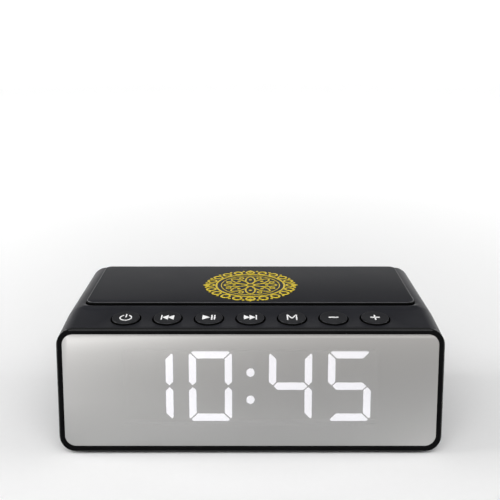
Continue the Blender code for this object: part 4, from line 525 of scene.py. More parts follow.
class Workpiece:
    """One mesh that is shaped with Blender's operators, as by hand."""

    def __init__(self, piece: bpy.types.Object) -> None:
        """Takes over an object."""
        self.piece = piece

    @classmethod
    def block(cls, name: str, low: Point, high: Point) -> "Workpiece":
        """Adds a block between two corners.

        Args:
            name: Name of the piece.
            low: Its lowest corner.
            high: Its highest corner.

        Returns:
            The workpiece.
        """
        clear_selection()
        low, high = Vector(low), Vector(high)
        bpy.ops.mesh.primitive_cube_add(size=1, location=(low + high) / 2)
        piece = bpy.context.object
        piece.scale = high - low
        return cls(piece).named(name)

    @classmethod
    def rod(
        cls, name: str, place: Matrix, radius: float, low: float, high: float, sides: int = 64
    ) -> "Workpiece":
        """Adds a cylinder.

        Args:
            name: Name of the piece.
            place: Frame whose Z axis the cylinder follows.
            radius: Its radius.
            low: Height of its lower end in that frame.
            high: Height of its upper end in that frame.
            sides: Number of its sides.

        Returns:
            The new workpiece.
        """
        clear_selection()
        bpy.ops.mesh.primitive_cylinder_add(vertices=sides, radius=radius, depth=high - low)
        piece = bpy.context.object
        piece.matrix_world = place @ Matrix.Translation((0, 0, (low + high) / 2))
        return cls(piece).named(name)

    @classmethod
    def hoop(
        cls, name: str, place: Matrix, oval: Point, half_band: float, rise: float, sides: int
    ) -> "Workpiece":
        """Adds an oval ring whose band is equally wide all round and round on top.

        Args:
            name: Name of the piece.
            place: Frame in whose XY plane the ring lies.
            oval: Half length and half width of the oval, at the middle of the band.
            half_band: Half of the band's width.
            rise: Height of the band over that plane.
            sides: Number of its sides.

        Returns:
            The new workpiece.
        """
        clear_selection()
        bpy.ops.mesh.primitive_torus_add(
            major_radius=1, minor_radius=0.5, major_segments=sides, minor_segments=10
        )
        piece = bpy.context.object
        for vertex in piece.data.vertices:
            turn = math.atan2(vertex.co.y, vertex.co.x)
            out = (off_axis(vertex.co) - 1) * 2 * half_band
            square = Vector((math.cos(turn) / oval[0], math.sin(turn) / oval[1])).normalized()
            spot = Vector((math.cos(turn) * oval[0], math.sin(turn) * oval[1])) + square * out
            vertex.co = (*spot, vertex.co.z * 2 * rise)
        piece.matrix_world = place
        return cls(piece).named(name)

    def named(self, name: str) -> "Workpiece":
        """Names the object and moves its place into its mesh.

        Args:
            name: The object's name, and its mesh's.

        Returns:
            The workpiece.
        """
        self.piece.name = name
        self.piece.data.name = name
        self.activate()
        bpy.ops.object.transform_apply(location=True, rotation=True, scale=True)
        return self

    def activate(self) -> None:
        """Makes this the one selected object."""
        clear_selection()
        self.piece.select_set(True)
        bpy.context.view_layer.objects.active = self.piece

    def pick(self, part: Part, test: Callable) -> "Workpiece":
        """Selects in edit mode what passes a test on its bmesh element.

        Args:
            part: What to select.
            test: Test on a bmesh vertex, edge or face.

        Returns:
            The workpiece.
        """
        self.activate()
        bpy.ops.object.mode_set(mode="EDIT")
        bpy.ops.mesh.select_mode(type=part.value)
        bpy.ops.mesh.select_all(action="DESELECT")
        shape = bmesh.from_edit_mesh(self.piece.data)
        groups = {Part.VERTEX: shape.verts, Part.EDGE: shape.edges, Part.FACE: shape.faces}
        found = [item for item in groups[part] if test(item)]
        if not found:
            LOG.warning("%s: nothing to select", self.piece.name)
        for item in found:
            item.select_set(True)
        shape.select_flush_mode()
        bmesh.update_edit_mesh(self.piece.data)
        return self

    def pick_all(self) -> "Workpiece":
        """Selects the whole mesh in edit mode.

        Returns:
            The workpiece.
        """
        self.activate()
        bpy.ops.object.mode_set(mode="EDIT")
        bpy.ops.mesh.select_mode(type=Part.FACE.value)
        bpy.ops.mesh.select_all(action="SELECT")
        return self

    def form(self, lift: Callable[[Vector], float]) -> "Workpiece":
        """Raises each point by a height that depends on its place, as a soft form in the mould.

        Args:
            lift: Rise of a point by its place.

        Returns:
            The workpiece.
        """
        self.activate()
        for vertex in self.piece.data.vertices:
            vertex.co.z += lift(vertex.co)
        return self

    def paint(self, finishes: "Finishes", name: str, test: Callable) -> "Workpiece":
        """Gives some faces a finish of their own.

        Args:
            finishes: All the finishes.
            name: Name of the finish.
            test: Test on a polygon's middle and normal.

        Returns:
            The workpiece.
        """
        self.activate()
        materials = self.piece.data.materials
        if finishes.by_name[name].name not in materials:
            materials.append(finishes.by_name[name])
        index = materials.find(finishes.by_name[name].name)
        for face in self.piece.data.polygons:
            if test(face.center, face.normal):
                face.material_index = index
        return self

    def bevel(self, width: float, segments: int) -> "Workpiece":
        """Rounds the selected edges.

        Args:
            width: Distance of the new edges from the old one.
            segments: Number of steps in the rounding.

        Returns:
            The workpiece.
        """
        bpy.ops.mesh.bevel(
            offset=width, offset_type="OFFSET", segments=segments, affect="EDGES", clamp_overlap=False
        )
        return self

    def inset(self, width: float) -> "Workpiece":
        """Draws a border inside the selected faces, which stay selected."""
        bpy.ops.mesh.inset(thickness=width, depth=0, use_even_offset=True)
        return self

    def extrude(self, way: Point) -> "Workpiece":
        """Extrudes the selected faces along a vector."""
        bpy.ops.mesh.extrude_region_move(TRANSFORM_OT_translate={"value": tuple(way)})
        return self

    def shift(self, way: Point) -> "Workpiece":
        """Moves what is selected."""
        bpy.ops.transform.translate(value=tuple(way))
        return self

    def bridge(self) -> "Workpiece":
        """Joins two selected faces by a tunnel."""
        bpy.ops.mesh.bridge_edge_loops()
        return self

    def delete(self) -> "Workpiece":
        """Deletes the selected faces."""
        bpy.ops.mesh.delete(type="FACE")
        return self

    def merge(self, distance: float = 0.002 * MM) -> "Workpiece":
        """Merges points that lie together.

        Args:
            distance: Points closer than this become one.

        Returns:
            The workpiece.
        """
        self.pick_all()
        bpy.ops.mesh.remove_doubles(threshold=distance)
        return self

    def slice(self, spot: Point, normal: Point, keep: Side = Side.BOTH) -> "Workpiece":
        """Cuts the whole mesh by a plane.

        Args:
            spot: A point on the plane.
            normal: The plane's normal.
            keep: The side that stays. The cut is closed if one side goes.

        Returns:
            The workpiece.
        """
        self.pick_all()
        bpy.ops.mesh.bisect(
            plane_co=tuple(spot),
            plane_no=tuple(normal),
            use_fill=keep is not Side.BOTH,
            clear_inner=keep is Side.ABOVE,
            clear_outer=keep is Side.BELOW,
        )
        return self

    def spin(self, count: int, centre: Point, axis: Point = (0, 0, 1)) -> "Workpiece":
        """Repeats the whole mesh round an axis.

        Args:
            count: How often it then stands there.
            centre: A point on the axis.
            axis: Direction of the axis.

        Returns:
            The workpiece.
        """
        self.pick_all()
        angle = math.tau * (count - 1) / count
        bpy.ops.mesh.spin(steps=count - 1, dupli=True, angle=angle, center=tuple(centre), axis=tuple(axis))
        return self

    def combine(self, other: "Workpiece", how: Join) -> "Workpiece":
        """Cuts or fuses another workpiece, which is used up.

        Args:
            other: The tool or the second piece.
            how: Whether it cuts or fuses.

        Returns:
            The workpiece.
        """
        clear_selection()
        modifier = self.piece.modifiers.new("tool", "BOOLEAN")
        modifier.operation = how.value
        modifier.object = other.piece
        modifier.solver = "EXACT"
        modifier.use_self = True
        self.activate()
        bpy.ops.object.modifier_apply(modifier=modifier.name)
        bpy.data.objects.remove(other.piece, do_unlink=True)
        return self

    def gather(self, others: Iterable["Workpiece"]) -> "Workpiece":
        """Joins other workpieces into this mesh as they are.

        Args:
            others: The workpieces to take in.

        Returns:
            The workpiece.
        """
        self.activate()
        for other in others:
            other.piece.select_set(True)
        bpy.ops.object.join()
        return self

    def copy(self, name: str) -> "Workpiece":
        """Makes a copy with a mesh of its own.

        Args:
            name: Name of the copy.

        Returns:
            The workpiece.
        """
        clear_selection()
        piece = self.piece.copy()
        piece.data = self.piece.data.copy()
        piece.name = piece.data.name = name
        bpy.context.scene.collection.objects.link(piece)
        return Workpiece(piece)

    def place(self, matrix: Matrix) -> "Workpiece":
        """Moves the whole piece and puts its place into its mesh.

        Args:
            matrix: Where the piece goes, from where it is.

        Returns:
            The workpiece.
        """
        self.activate()
        self.piece.matrix_world = matrix @ self.piece.matrix_world
        bpy.ops.object.transform_apply(location=True, rotation=True, scale=True)
        return self

    def finish(self, angle: float = 32.0, face_out: bool = False) -> bpy.types.Object:
        """Leaves edit mode and shades the piece smooth up to an angle in degrees.

        Args:
            angle: Edges sharper than this stay sharp.
            face_out: Whether to turn all faces outwards first.

        Returns:
            The finished object.
        """
        if face_out:
            self.pick_all()
            bpy.ops.mesh.normals_make_consistent(inside=False)
        self.activate()
        bpy.ops.object.shade_smooth_by_angle(angle=math.radians(angle))
        clear_selection()
        return self.piece


def near(value: float, target: float, within: float = 2 * HAIR) -> bool:
    """Whether two lengths agree."""
    return abs(value - target) < within


def off_axis(spot: Vector) -> float:
    """Distance of a point from the Z axis."""
    return math.hypot(spot.x, spot.y)


def middle(low: Point, high: Point) -> tuple[float, ...]:
    """Point midway between two corners."""
    return tuple((a + b) / 2 for a, b in zip(low, high))


def mount(piece: bpy.types.Object, body: str, replaced: Sequence[str] = ()) -> None:
    """Puts a finished piece on its body.

    Args:
        piece: The piece.
        body: The CAD body it rides on.
        replaced: CAD nodes that it stands for.
    """
    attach(piece, body)
    if replaced:
        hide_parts(*replaced)
    LOG.info("%s: %d faces on %s", piece.name, len(piece.data.polygons), body)


# ------------------------------------------------------------------------ case


@dataclass
class Case:
    """Smooth shells of the case, with the deck's lip, the panel recess and the keyholes."""

    finishes: Finishes
    half_width: float = 80 * MM
    front: float = -39.75 * MM
    back: float = 39.75 * MM
    rim_back: float = 1.8 * MM
    underside: float = 1.0 * MM
    front_top: float = 54.9 * MM
    lip_top: float = 56.6 * MM
    lip: float = 21.4 * MM
    corner: float = 7 * MM
    front_wall: float = 1.2 * MM
    rear_wall: float = 2.0 * MM
    rear_rounding: float = 1.0 * MM
    seam: float = 9.1 * MM
    seam_gap: float = 0.3 * MM
    corner_segments: int = 16
    lip_profile: Sequence[tuple[float, float]] = (
        (-2.00 * MM, 0.20 * MM),
        (0.00 * MM, 0.42 * MM),
        (1.10 * MM, 0.72 * MM),
        (1.40 * MM, 0.74 * MM),
        (1.65 * MM, 0.67 * MM),
        (2.20 * MM, 0.40 * MM),
        (2.60 * MM, 0.24 * MM),
        (3.00 * MM, 0.13 * MM),
        (3.50 * MM, 0.05 * MM),
        (4.20 * MM, 0.00),
    )
    crest_from: float = 0.42 * MM
    lip_end: float = 75.0 * MM
    lip_fade: float = 2.6 * MM
    lip_pitch: float = 0.3 * MM
    lip_fine_cuts: int = 16
    lip_coarse_cuts: int = 9
    lip_end_cuts: int = 18
    lip_end_pitch: float = 0.48 * MM
    recess_half_width: float = 72.9 * MM
    recess_front: float = 22.0 * MM
    recess_back: float = 77.2 * MM
    recess_floor: float = 55.7 * MM
    recess_front_radius: float = 5.2 * MM
    recess_back_radius: float = 3.4 * MM
    foot_pocket_radius: float = 6.3 * MM
    foot_clearance: float = 0.3 * MM
    counterbore_radius: float = 2.7 * MM
    counterbore_top: float = 10 * MM

    def top_at(self, distance: float) -> float:
        """Height of the plain top surface at a distance behind the front plane."""
        share = min(1.0, (distance - self.rim_back) / (self.lip - self.rim_back))
        return self.front_top + (self.lip_top - self.front_top) * share

    def build_shell(self) -> Workpiece:
        """Whole outer shell as one tube from front to back.

        Returns:
            The shell before it is parted at its seam.
        """
        low = (-self.half_width, self.front + self.rim_back, self.underside)
        shell = Workpiece.block("case_shell", low, (self.half_width, self.back, self.front_top))
        shell.slice((0, self.front + self.lip, 0), (0, 1, 0))
        for distance in (self.rim_back, self.lip, self.back - self.front):
            y = self.front + distance
            lift = self.top_at(distance) - self.front_top
            shell.pick(Part.VERTEX, lambda v: near(v.co.y, y) and v.co.z > self.front_top - self.corner)
            shell.shift((0, 0, lift))
        shell.pick(Part.EDGE, self._is_long_corner)
        shell.bevel(self.corner, self.corner_segments)
        shell.pick(Part.EDGE, lambda e: all(near(v.co.y, self.back) for v in e.verts))
        shell.bevel(self.rear_rounding, 5)
        shell.pick(Part.FACE, lambda f: near(f.calc_center_median().y, self.back))
        shell.inset(self.rear_wall - self.rear_rounding)
        shell.pick(Part.FACE, lambda f: near(f.calc_center_median().y, self.front + self.rim_back))
        shell.inset(self.front_wall)
        shell.pick(Part.FACE, self._is_end)
        shell.bridge()
        return shell

    def _is_end(self, face: bmesh.types.BMFace) -> bool:
        """Whether a face is the large middle of the block's front or back end."""
        ends = (self.front + self.rim_back, self.back)
        return face.calc_area() > LARGE_FACE and any(all(near(v.co.y, y) for v in face.verts) for y in ends)

    def raise_lip(self, shell: Workpiece) -> None:
        """Cuts a fine grid about the front of the recess and raises the soft lip there.

        Args:
            shell: The upper shell.
        """
        pitch = self.lip_pitch
        fine = [self.recess_front + pitch - i * pitch for i in range(self.lip_fine_cuts)]
        coarse = [self.recess_front + 2 * pitch * (i + 1) for i in range(self.lip_coarse_cuts)]
        for distance in fine + coarse:
            shell.slice((0, self.front + distance, 0), (0, 1, 0))
        for i in range(self.lip_end_cuts):
            for side in (-1, 1):
                shell.slice((side * (self.lip_end - i * self.lip_end_pitch), 0, 0), (1, 0, 0))
        shell.form(self.lip_at)

    def lip_at(self, spot: Vector) -> float:
        """Height of the lip over the plain top, by the distance from the recess.

        Args:
            spot: A point of the shell.

        Returns:
            The lift of that point, and nothing below the top skin.
        """
        if spot.z < self.top_at(spot.y - self.front) - self.front_wall / 2:
            return 0.0
        aside = max(abs(spot.x) - self.recess_half_width + self.recess_front_radius, 0.0)
        ahead = max(self.front + self.recess_front + self.recess_front_radius - spot.y, 0.0)
        reach = math.hypot(aside, ahead)
        away = reach - self.recess_front_radius
        rise = 0.0
        for (near_end, low), (far_end, high) in zip(self.lip_profile, self.lip_profile[1:]):
            if near_end <= away <= far_end:
                rise = low + (high - low) * (away - near_end) / (far_end - near_end)
        if not rise:
            return 0.0
        return rise * (ahead / reach) * ease((self.lip_end - abs(spot.x)) / self.lip_fade)

    def _is_long_corner(self, edge: bmesh.types.BMEdge) -> bool:
        """Whether an edge runs along one of the four long corners of the block.

        Args:
            edge: An edge of the block.

        Returns:
            True for those four edges.
        """
        a, b = (v.co for v in edge.verts)
        at_side = near(abs(a.x), self.half_width) and near(a.x, b.x)
        return at_side and abs(a.y - b.y) > 0.1 * MM and abs(a.z - b.z) < 2 * MM

    def recess_tool(self) -> Workpiece:
        """Block with round corners that cuts the panel's recess.

        Returns:
            The tool, which is used up by the cut.
        """
        low = (-self.recess_half_width, self.front + self.recess_front, self.recess_floor)
        high = (self.recess_half_width, self.front + self.recess_back, self.lip_top + 5 * MM)
        tool = Workpiece.block("recess_tool", low, high)
        round_upright(tool, self.recess_front_radius, lambda v: near(v.co.y, low[1]))
        round_upright(tool, self.recess_back_radius, lambda v: near(v.co.y, high[1]))
        return tool

    def build(self, keys: "Keys") -> None:
        """Makes the upper shell and the base shell.

        Args:
            keys: The keys, whose holes the shell gets.
        """
        upper = self.build_shell()
        lower = upper.copy("base_shell")
        upper.slice((0, 0, self.seam + self.seam_gap / 2), (0, 0, 1), Side.ABOVE)
        lower.slice((0, 0, self.seam - self.seam_gap / 2), (0, 0, 1), Side.BELOW)
        self.raise_lip(upper)
        upper.combine(self.recess_tool(), Join.CUT)
        upper.combine(keys.hole_tool(), Join.CUT)
        keys.soften_holes(upper)
        piece = upper.finish()
        piece.name = "upper_shell"
        self.finishes.dress(piece, "satin_case")
        upper.paint(self.finishes, "panel_edge", self.on_crest)
        # Painted shade: the keyhole walls and the recess's walls and floor get the near-black dull finish.
        upper.paint(
            self.finishes, "painted_shade_black", lambda spot, way: keys.in_hole(spot) or self.in_trough(spot)
        )
        mount(piece, ROOT_BODY, ["main_housing"])
        self.cut_base(lower)
        piece = lower.finish()
        self.finishes.dress(piece, "satin_case")
        mount(piece, ROOT_BODY, ["base_cover"])

    def on_crest(self, spot: Vector, way: Vector) -> bool:
        """Whether a face with this middle and normal lies on the crest of the lip."""
        return way.z > 0.9 and self.lip_at(spot) > self.crest_from

    def in_trough(self, spot: Vector) -> bool:
        """Whether a point lies on a wall or the floor of the recess.

        Args:
            spot: Middle of a face of the shell.

        Returns:
            True for faces that get the painted shade.
        """
        within = abs(spot.x) <= self.recess_half_width + HAIR
        behind = spot.y > self.front + self.recess_front - HAIR
        return within and behind and self.recess_floor - 10 * HAIR < spot.z < self.lip_top - 2 * HAIR

    def cut_base(self, base: Workpiece) -> None:
        """Cuts the foot pockets and the screws' counterbores into the base.

        Args:
            base: The base shell.
        """
        tools = []
        for i in range(1, 5):
            low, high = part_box(f"rubber_foot_{i}")
            x, y, _ = middle(low, high)
            place, top = Matrix.Translation((x, y, 0)), high[2] + self.foot_clearance
            tools.append(Workpiece.rod("pocket", place, self.foot_pocket_radius, -MM, top, 48))
            low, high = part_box(f"base_screw_{i}")
            x, y, _ = middle(low, high)
            place, top = Matrix.Translation((x, y, 0)), self.counterbore_top
            tools.append(Workpiece.rod("counterbore", place, self.counterbore_radius, -MM, top, 32))
        base.combine(tools[0].gather(tools[1:]), Join.CUT)


def ease(share: float) -> float:
    """Smooth step from 0 to 1, clamped at both ends."""
    share = min(1.0, max(0.0, share))
    return share * share * (3 - 2 * share)


def round_upright(tool: Workpiece, radius: float, test: Callable, segments: int = 10) -> None:
    """Rounds the upright edges of a block whose points pass a test.

    Args:
        tool: The block.
        radius: Radius of the corners.
        test: Test on a point of the edge.
        segments: Number of steps in the rounding.
    """

    def upright(edge: bmesh.types.BMEdge) -> bool:
        """Whether an edge stands upright and passes the test."""
        a, b = edge.verts
        return abs(a.co.z - b.co.z) > 0.1 * MM and near(a.co.x, b.co.x) and near(a.co.y, b.co.y) and test(a)

    tool.pick(Part.EDGE, upright)
    tool.bevel(radius, segments)


# ----------------------------------------------------------------------- front


@dataclass
class Front:
    """Polished ring, half-mirror lens and the lit time behind it."""

    finishes: Finishes
    case: Case
    rim_width: float = 2.2 * MM
    rim_depth: float = 1.5 * MM
    rim_rounding: float = 0.7 * MM
    rim_chamfer: float = 0.25 * MM
    spigot_inset: float = 1.5 * MM
    ledge_inset: float = 4.4 * MM
    ledge_front: float = 2.5 * MM
    ledge_back: float = 3.5 * MM
    lens_gap: float = 0.06 * MM
    lens_front: float = 0.4 * MM
    lens_back: float = 1.6 * MM
    lens_edge: float = 0.15 * MM
    stroke_front: float = 1.9 * MM
    stroke_depth: float = 0.6 * MM
    digit_height: float = 30.6 * MM
    digit_width: float = 17.9 * MM
    stroke: float = 3.0 * MM
    stroke_gap: float = 0.75 * MM
    corner_cut: float = 1.1 * MM
    digit_z: float = 29.2 * MM
    digit_centres: Sequence[float] = (-41.2 * MM, -16.65 * MM, 16.65 * MM, 41.2 * MM)
    lit: Sequence[str] = ("bc", "abcdef", "bcfg", "acdfg")
    dot_radius: float = 1.7 * MM
    dot_rise: float = 6.0 * MM

    def rounded_block(self, name: str, inset: float, near_face: float, far_face: float) -> Workpiece:
        """Block of the front's outline, with round corners.

        Args:
            name: Name of the piece.
            inset: Distance of its outline inside the ring's outer edge.
            near_face: Distance of its front face behind the front plane.
            far_face: Distance of its back face behind the front plane.

        Returns:
            The new workpiece.
        """
        case = self.case
        low = (inset - case.half_width, case.front + near_face, case.underside + inset)
        high = (case.half_width - inset, case.front + far_face, case.front_top - inset)
        block = Workpiece.block(name, low, high)
        block.pick(Part.EDGE, lambda e: abs(e.verts[0].co.y - e.verts[1].co.y) > 0.1 * MM)
        return block.bevel(case.corner - inset, case.corner_segments)

    def face_at(self, distance: float) -> Callable:
        """Test for the large face that lies square to Y at a distance behind the front plane."""
        y = self.case.front + distance
        return lambda f: all(near(v.co.y, y) for v in f.verts) and f.calc_area() > LARGE_FACE

    def loop_at(self, distance: float, inset: float) -> Callable:
        """Test for the edges of an outline at a distance and an inset.

        Args:
            distance: Distance of the outline behind the front plane.
            inset: Its distance inside the ring's outer edge.

        Returns:
            Test on an edge.
        """
        case = self.case
        y = case.front + distance
        half_height = (case.front_top - case.underside) / 2 - inset
        middle = (case.front_top + case.underside) / 2
        half_width = case.half_width - inset
        radius = case.corner - inset

        def on_outline(co: Vector) -> bool:
            """Whether a point lies on that outline.

            Args:
                co: A point of the piece.

            Returns:
                True within a hair of the outline.
            """
            u, v = abs(co.x) - (half_width - radius), abs(co.z - middle) - (half_height - radius)
            far = math.hypot(max(u, 0.0), max(v, 0.0)) if u > 0 and v > 0 else max(u, v)
            return near(co.y, y) and near(far, radius, 3 * HAIR)

        return lambda e: all(on_outline(v.co) for v in e.verts)

    def build_ring(self) -> None:
        """Makes the polished ring by insets and extrusions from a rounded block."""
        ring = self.rounded_block("front_ring", 0.0, 0.0, self.rim_depth)
        ring.pick(Part.FACE, self.face_at(self.rim_depth))
        ring.inset(self.spigot_inset)
        ring.extrude((0, self.ledge_back - self.rim_depth, 0))
        ring.inset(self.ledge_inset - self.spigot_inset)
        ring.extrude((0, self.ledge_front - self.ledge_back, 0))
        ring.delete()
        ring.pick(Part.FACE, self.face_at(0.0))
        ring.inset(self.rim_width)
        ring.extrude((0, self.ledge_front, 0))
        ring.inset(self.ledge_inset - self.rim_width)
        ring.delete()
        ring.merge()
        ring.pick(Part.EDGE, self.loop_at(0.0, 0.0))
        ring.bevel(self.rim_rounding, 6)
        ring.pick(Part.EDGE, self.loop_at(0.0, self.rim_width))
        ring.bevel(self.rim_chamfer, 4)
        piece = ring.finish(face_out=True)
        self.finishes.dress(piece, "polished_rim")
        ring.paint(self.finishes, "rim_face", self.is_inner_face)
        mount(piece, ROOT_BODY, ["front_bezel"])

    def is_inner_face(self, spot: Vector, way: Vector) -> bool:
        """Whether a face of the ring is its flat front or lies within its mouth.

        Args:
            spot: Middle of the face.
            way: Its normal.

        Returns:
            True for faces that get the dull finish.
        """
        case = self.case
        across = case.half_width - abs(spot.x)
        up = min(spot.z - case.underside, case.front_top - spot.z)
        in_mouth = min(across, up) > self.rim_rounding and spot.y < case.front + self.ledge_front
        return way.y < -0.999 or in_mouth

    def build_lens(self) -> None:
        """Makes the lens with its ground edge."""
        inset = self.rim_width + self.lens_gap
        lens = self.rounded_block("half_mirror_lens", inset, self.lens_front, self.lens_back)
        lens.pick(Part.EDGE, self.loop_at(self.lens_front, inset))
        lens.bevel(self.lens_edge, 2)
        piece = lens.finish()
        self.finishes.dress(piece, "half_mirror")
        lens.paint(self.finishes, "lens_body", lambda spot, way: way.y > -0.3)
        mount(piece, ROOT_BODY, ["mirror_lens"])

    def stroke_points(self, letter: str) -> list[tuple[float, float]]:
        """Outline of one stroke of a digit about the digit's centre.

        Args:
            letter: The stroke, from a at the top to f, with g across the middle.

        Returns:
            Corner points across and up.
        """
        half_width, half_height = self.digit_width / 2, self.digit_height / 2
        slip = self.stroke_gap / math.sqrt(2)
        cut = self.corner_cut
        if letter == "g":
            tip, half = half_width - self.stroke / 2 - slip, self.stroke / 2
            flat = tip - half
            return [(-tip, 0), (-flat, half), (flat, half), (tip, 0), (flat, -half), (-flat, -half)]
        if letter in "ad":
            reach = half_width - slip - cut
            inner = half_width - self.stroke - slip
            end, below = reach + cut / 2, half_height - cut / 2
            points = [(-reach, half_height), (reach, half_height), (end, below)]
            foot = half_height - self.stroke
            points += [(inner, foot), (-inner, foot), (-end, below)]
            return points if letter == "a" else [(x, -z) for x, z in points]
        top = half_height - slip - cut
        points = [
            (half_width, top),
            (half_width - cut / 2, top + cut / 2),
            (half_width - self.stroke, half_height - self.stroke - slip),
            (half_width - self.stroke, self.stroke / 2 + slip),
            (half_width - self.stroke / 2, slip),
            (half_width, self.stroke / 2 + slip),
        ]
        across = -1 if letter in "ef" else 1
        up = -1 if letter in "ce" else 1
        return [(across * x, up * z) for x, z in points]

    def build_stroke(self, name: str, centre: float, letter: str) -> Workpiece:
        """Makes one stroke as a plate drawn from its corner points.

        Args:
            name: Name of the piece.
            centre: Middle of the digit across the face.
            letter: The stroke, from a to g.

        Returns:
            The plate, facing the lens.
        """
        points = [(centre + x, self.digit_z + z) for x, z in self.stroke_points(letter)]
        clear_selection()
        bpy.ops.mesh.primitive_circle_add(vertices=len(points), radius=1, fill_type="NGON")
        stroke = Workpiece(bpy.context.object)
        stroke.named(name)
        x0, z0 = (sum(values) / len(points) for values in zip(*points))
        order = sorted(stroke.piece.data.vertices, key=lambda v: math.atan2(v.co.y, v.co.x))
        ring = sorted(points, key=lambda p: math.atan2(p[1] - z0, p[0] - x0))
        for vertex, (x, z) in zip(order, ring):
            vertex.co = (x, self.case.front + self.stroke_front, z)
        stroke.pick_all()
        stroke.extrude((0, self.stroke_depth, 0))
        return stroke

    def build_time(self) -> None:
        """Makes the lit strokes and the colon."""
        strokes = []
        for place, (centre, letters) in enumerate(zip(self.digit_centres, self.lit)):
            strokes += [self.build_stroke(f"stroke_{place}{letter}", centre, letter) for letter in letters]
        dots = []
        front = self.case.front + self.stroke_front
        facing = Matrix.Rotation(-math.pi / 2, 4, "X")
        for side in (-1, 1):
            place = Matrix.Translation((0, front, self.digit_z + side * self.dot_rise)) @ facing
            dots.append(Workpiece.rod("dot", place, self.dot_radius, 0, self.stroke_depth, 48))
        whole = strokes[0].gather(strokes[1:] + dots)
        piece = whole.finish(face_out=True)
        piece.name = "lit_time"
        self.finishes.dress(piece, "lit_stroke")
        mount(piece, ROOT_BODY, ["segment_diffuser"])

    def build(self) -> None:
        """Makes the whole front."""
        self.build_ring()
        self.build_lens()
        self.build_time()


# ------------------------------------------------------------------------ keys


class Icon(Enum):
    """Mark on each key, by the name of the key."""

    POWER = "power"
    PREVIOUS = "previous"
    PLAY = "play_pause"
    NEXT = "next"
    MODE = "mode"
    MINUS = "minus"
    PLUS = "plus"


@dataclass(frozen=True)
class Bar:
    """Straight bar of a mark, by its middle across and up the cap and its turn in degrees."""

    x: float
    u: float
    width: float
    length: float
    turn: float = 0.0


@dataclass(frozen=True)
class Wedge:
    """Triangle of a mark that points left (-1) or right (1)."""

    x: float
    reach: float
    height: float
    way: int


MARK_HEIGHT = 4.1 * MM


def skip_mark(way: int) -> tuple[Union[Bar, Wedge], ...]:
    """Two wedges and a bar that point left (-1) or right (1)."""
    wedges = [Wedge(way * x * MM, 2.4 * MM, MARK_HEIGHT, way) for x in (-1.6, 0.8)]
    return (*wedges, Bar(way * 2.45 * MM, 0, 0.55 * MM, MARK_HEIGHT))


MARKS = {
    Icon.POWER: (Bar(0, 1.55 * MM, 0.5 * MM, 2.8 * MM),),
    Icon.PREVIOUS: skip_mark(-1),
    Icon.PLAY: (
        Wedge(-1.25 * MM, 3.0 * MM, MARK_HEIGHT, 1),
        Bar(1.2 * MM, 0, 0.6 * MM, MARK_HEIGHT),
        Bar(2.4 * MM, 0, 0.6 * MM, MARK_HEIGHT),
    ),
    Icon.NEXT: skip_mark(1),
    Icon.MODE: (
        Bar(-1.9 * MM, 0, 0.55 * MM, 4.7 * MM),
        Bar(1.9 * MM, 0, 0.55 * MM, 4.7 * MM),
        Bar(-0.95 * MM, 0.75 * MM, 0.5 * MM, 3.7 * MM, 27),
        Bar(0.95 * MM, 0.75 * MM, 0.5 * MM, 3.7 * MM, -27),
    ),
    Icon.MINUS: (Bar(0, 0, 4.0 * MM, 0.75 * MM),),
    Icon.PLUS: (Bar(0, 0, 4.0 * MM, 0.75 * MM), Bar(0, 0, 0.6 * MM, 4.5 * MM)),
}


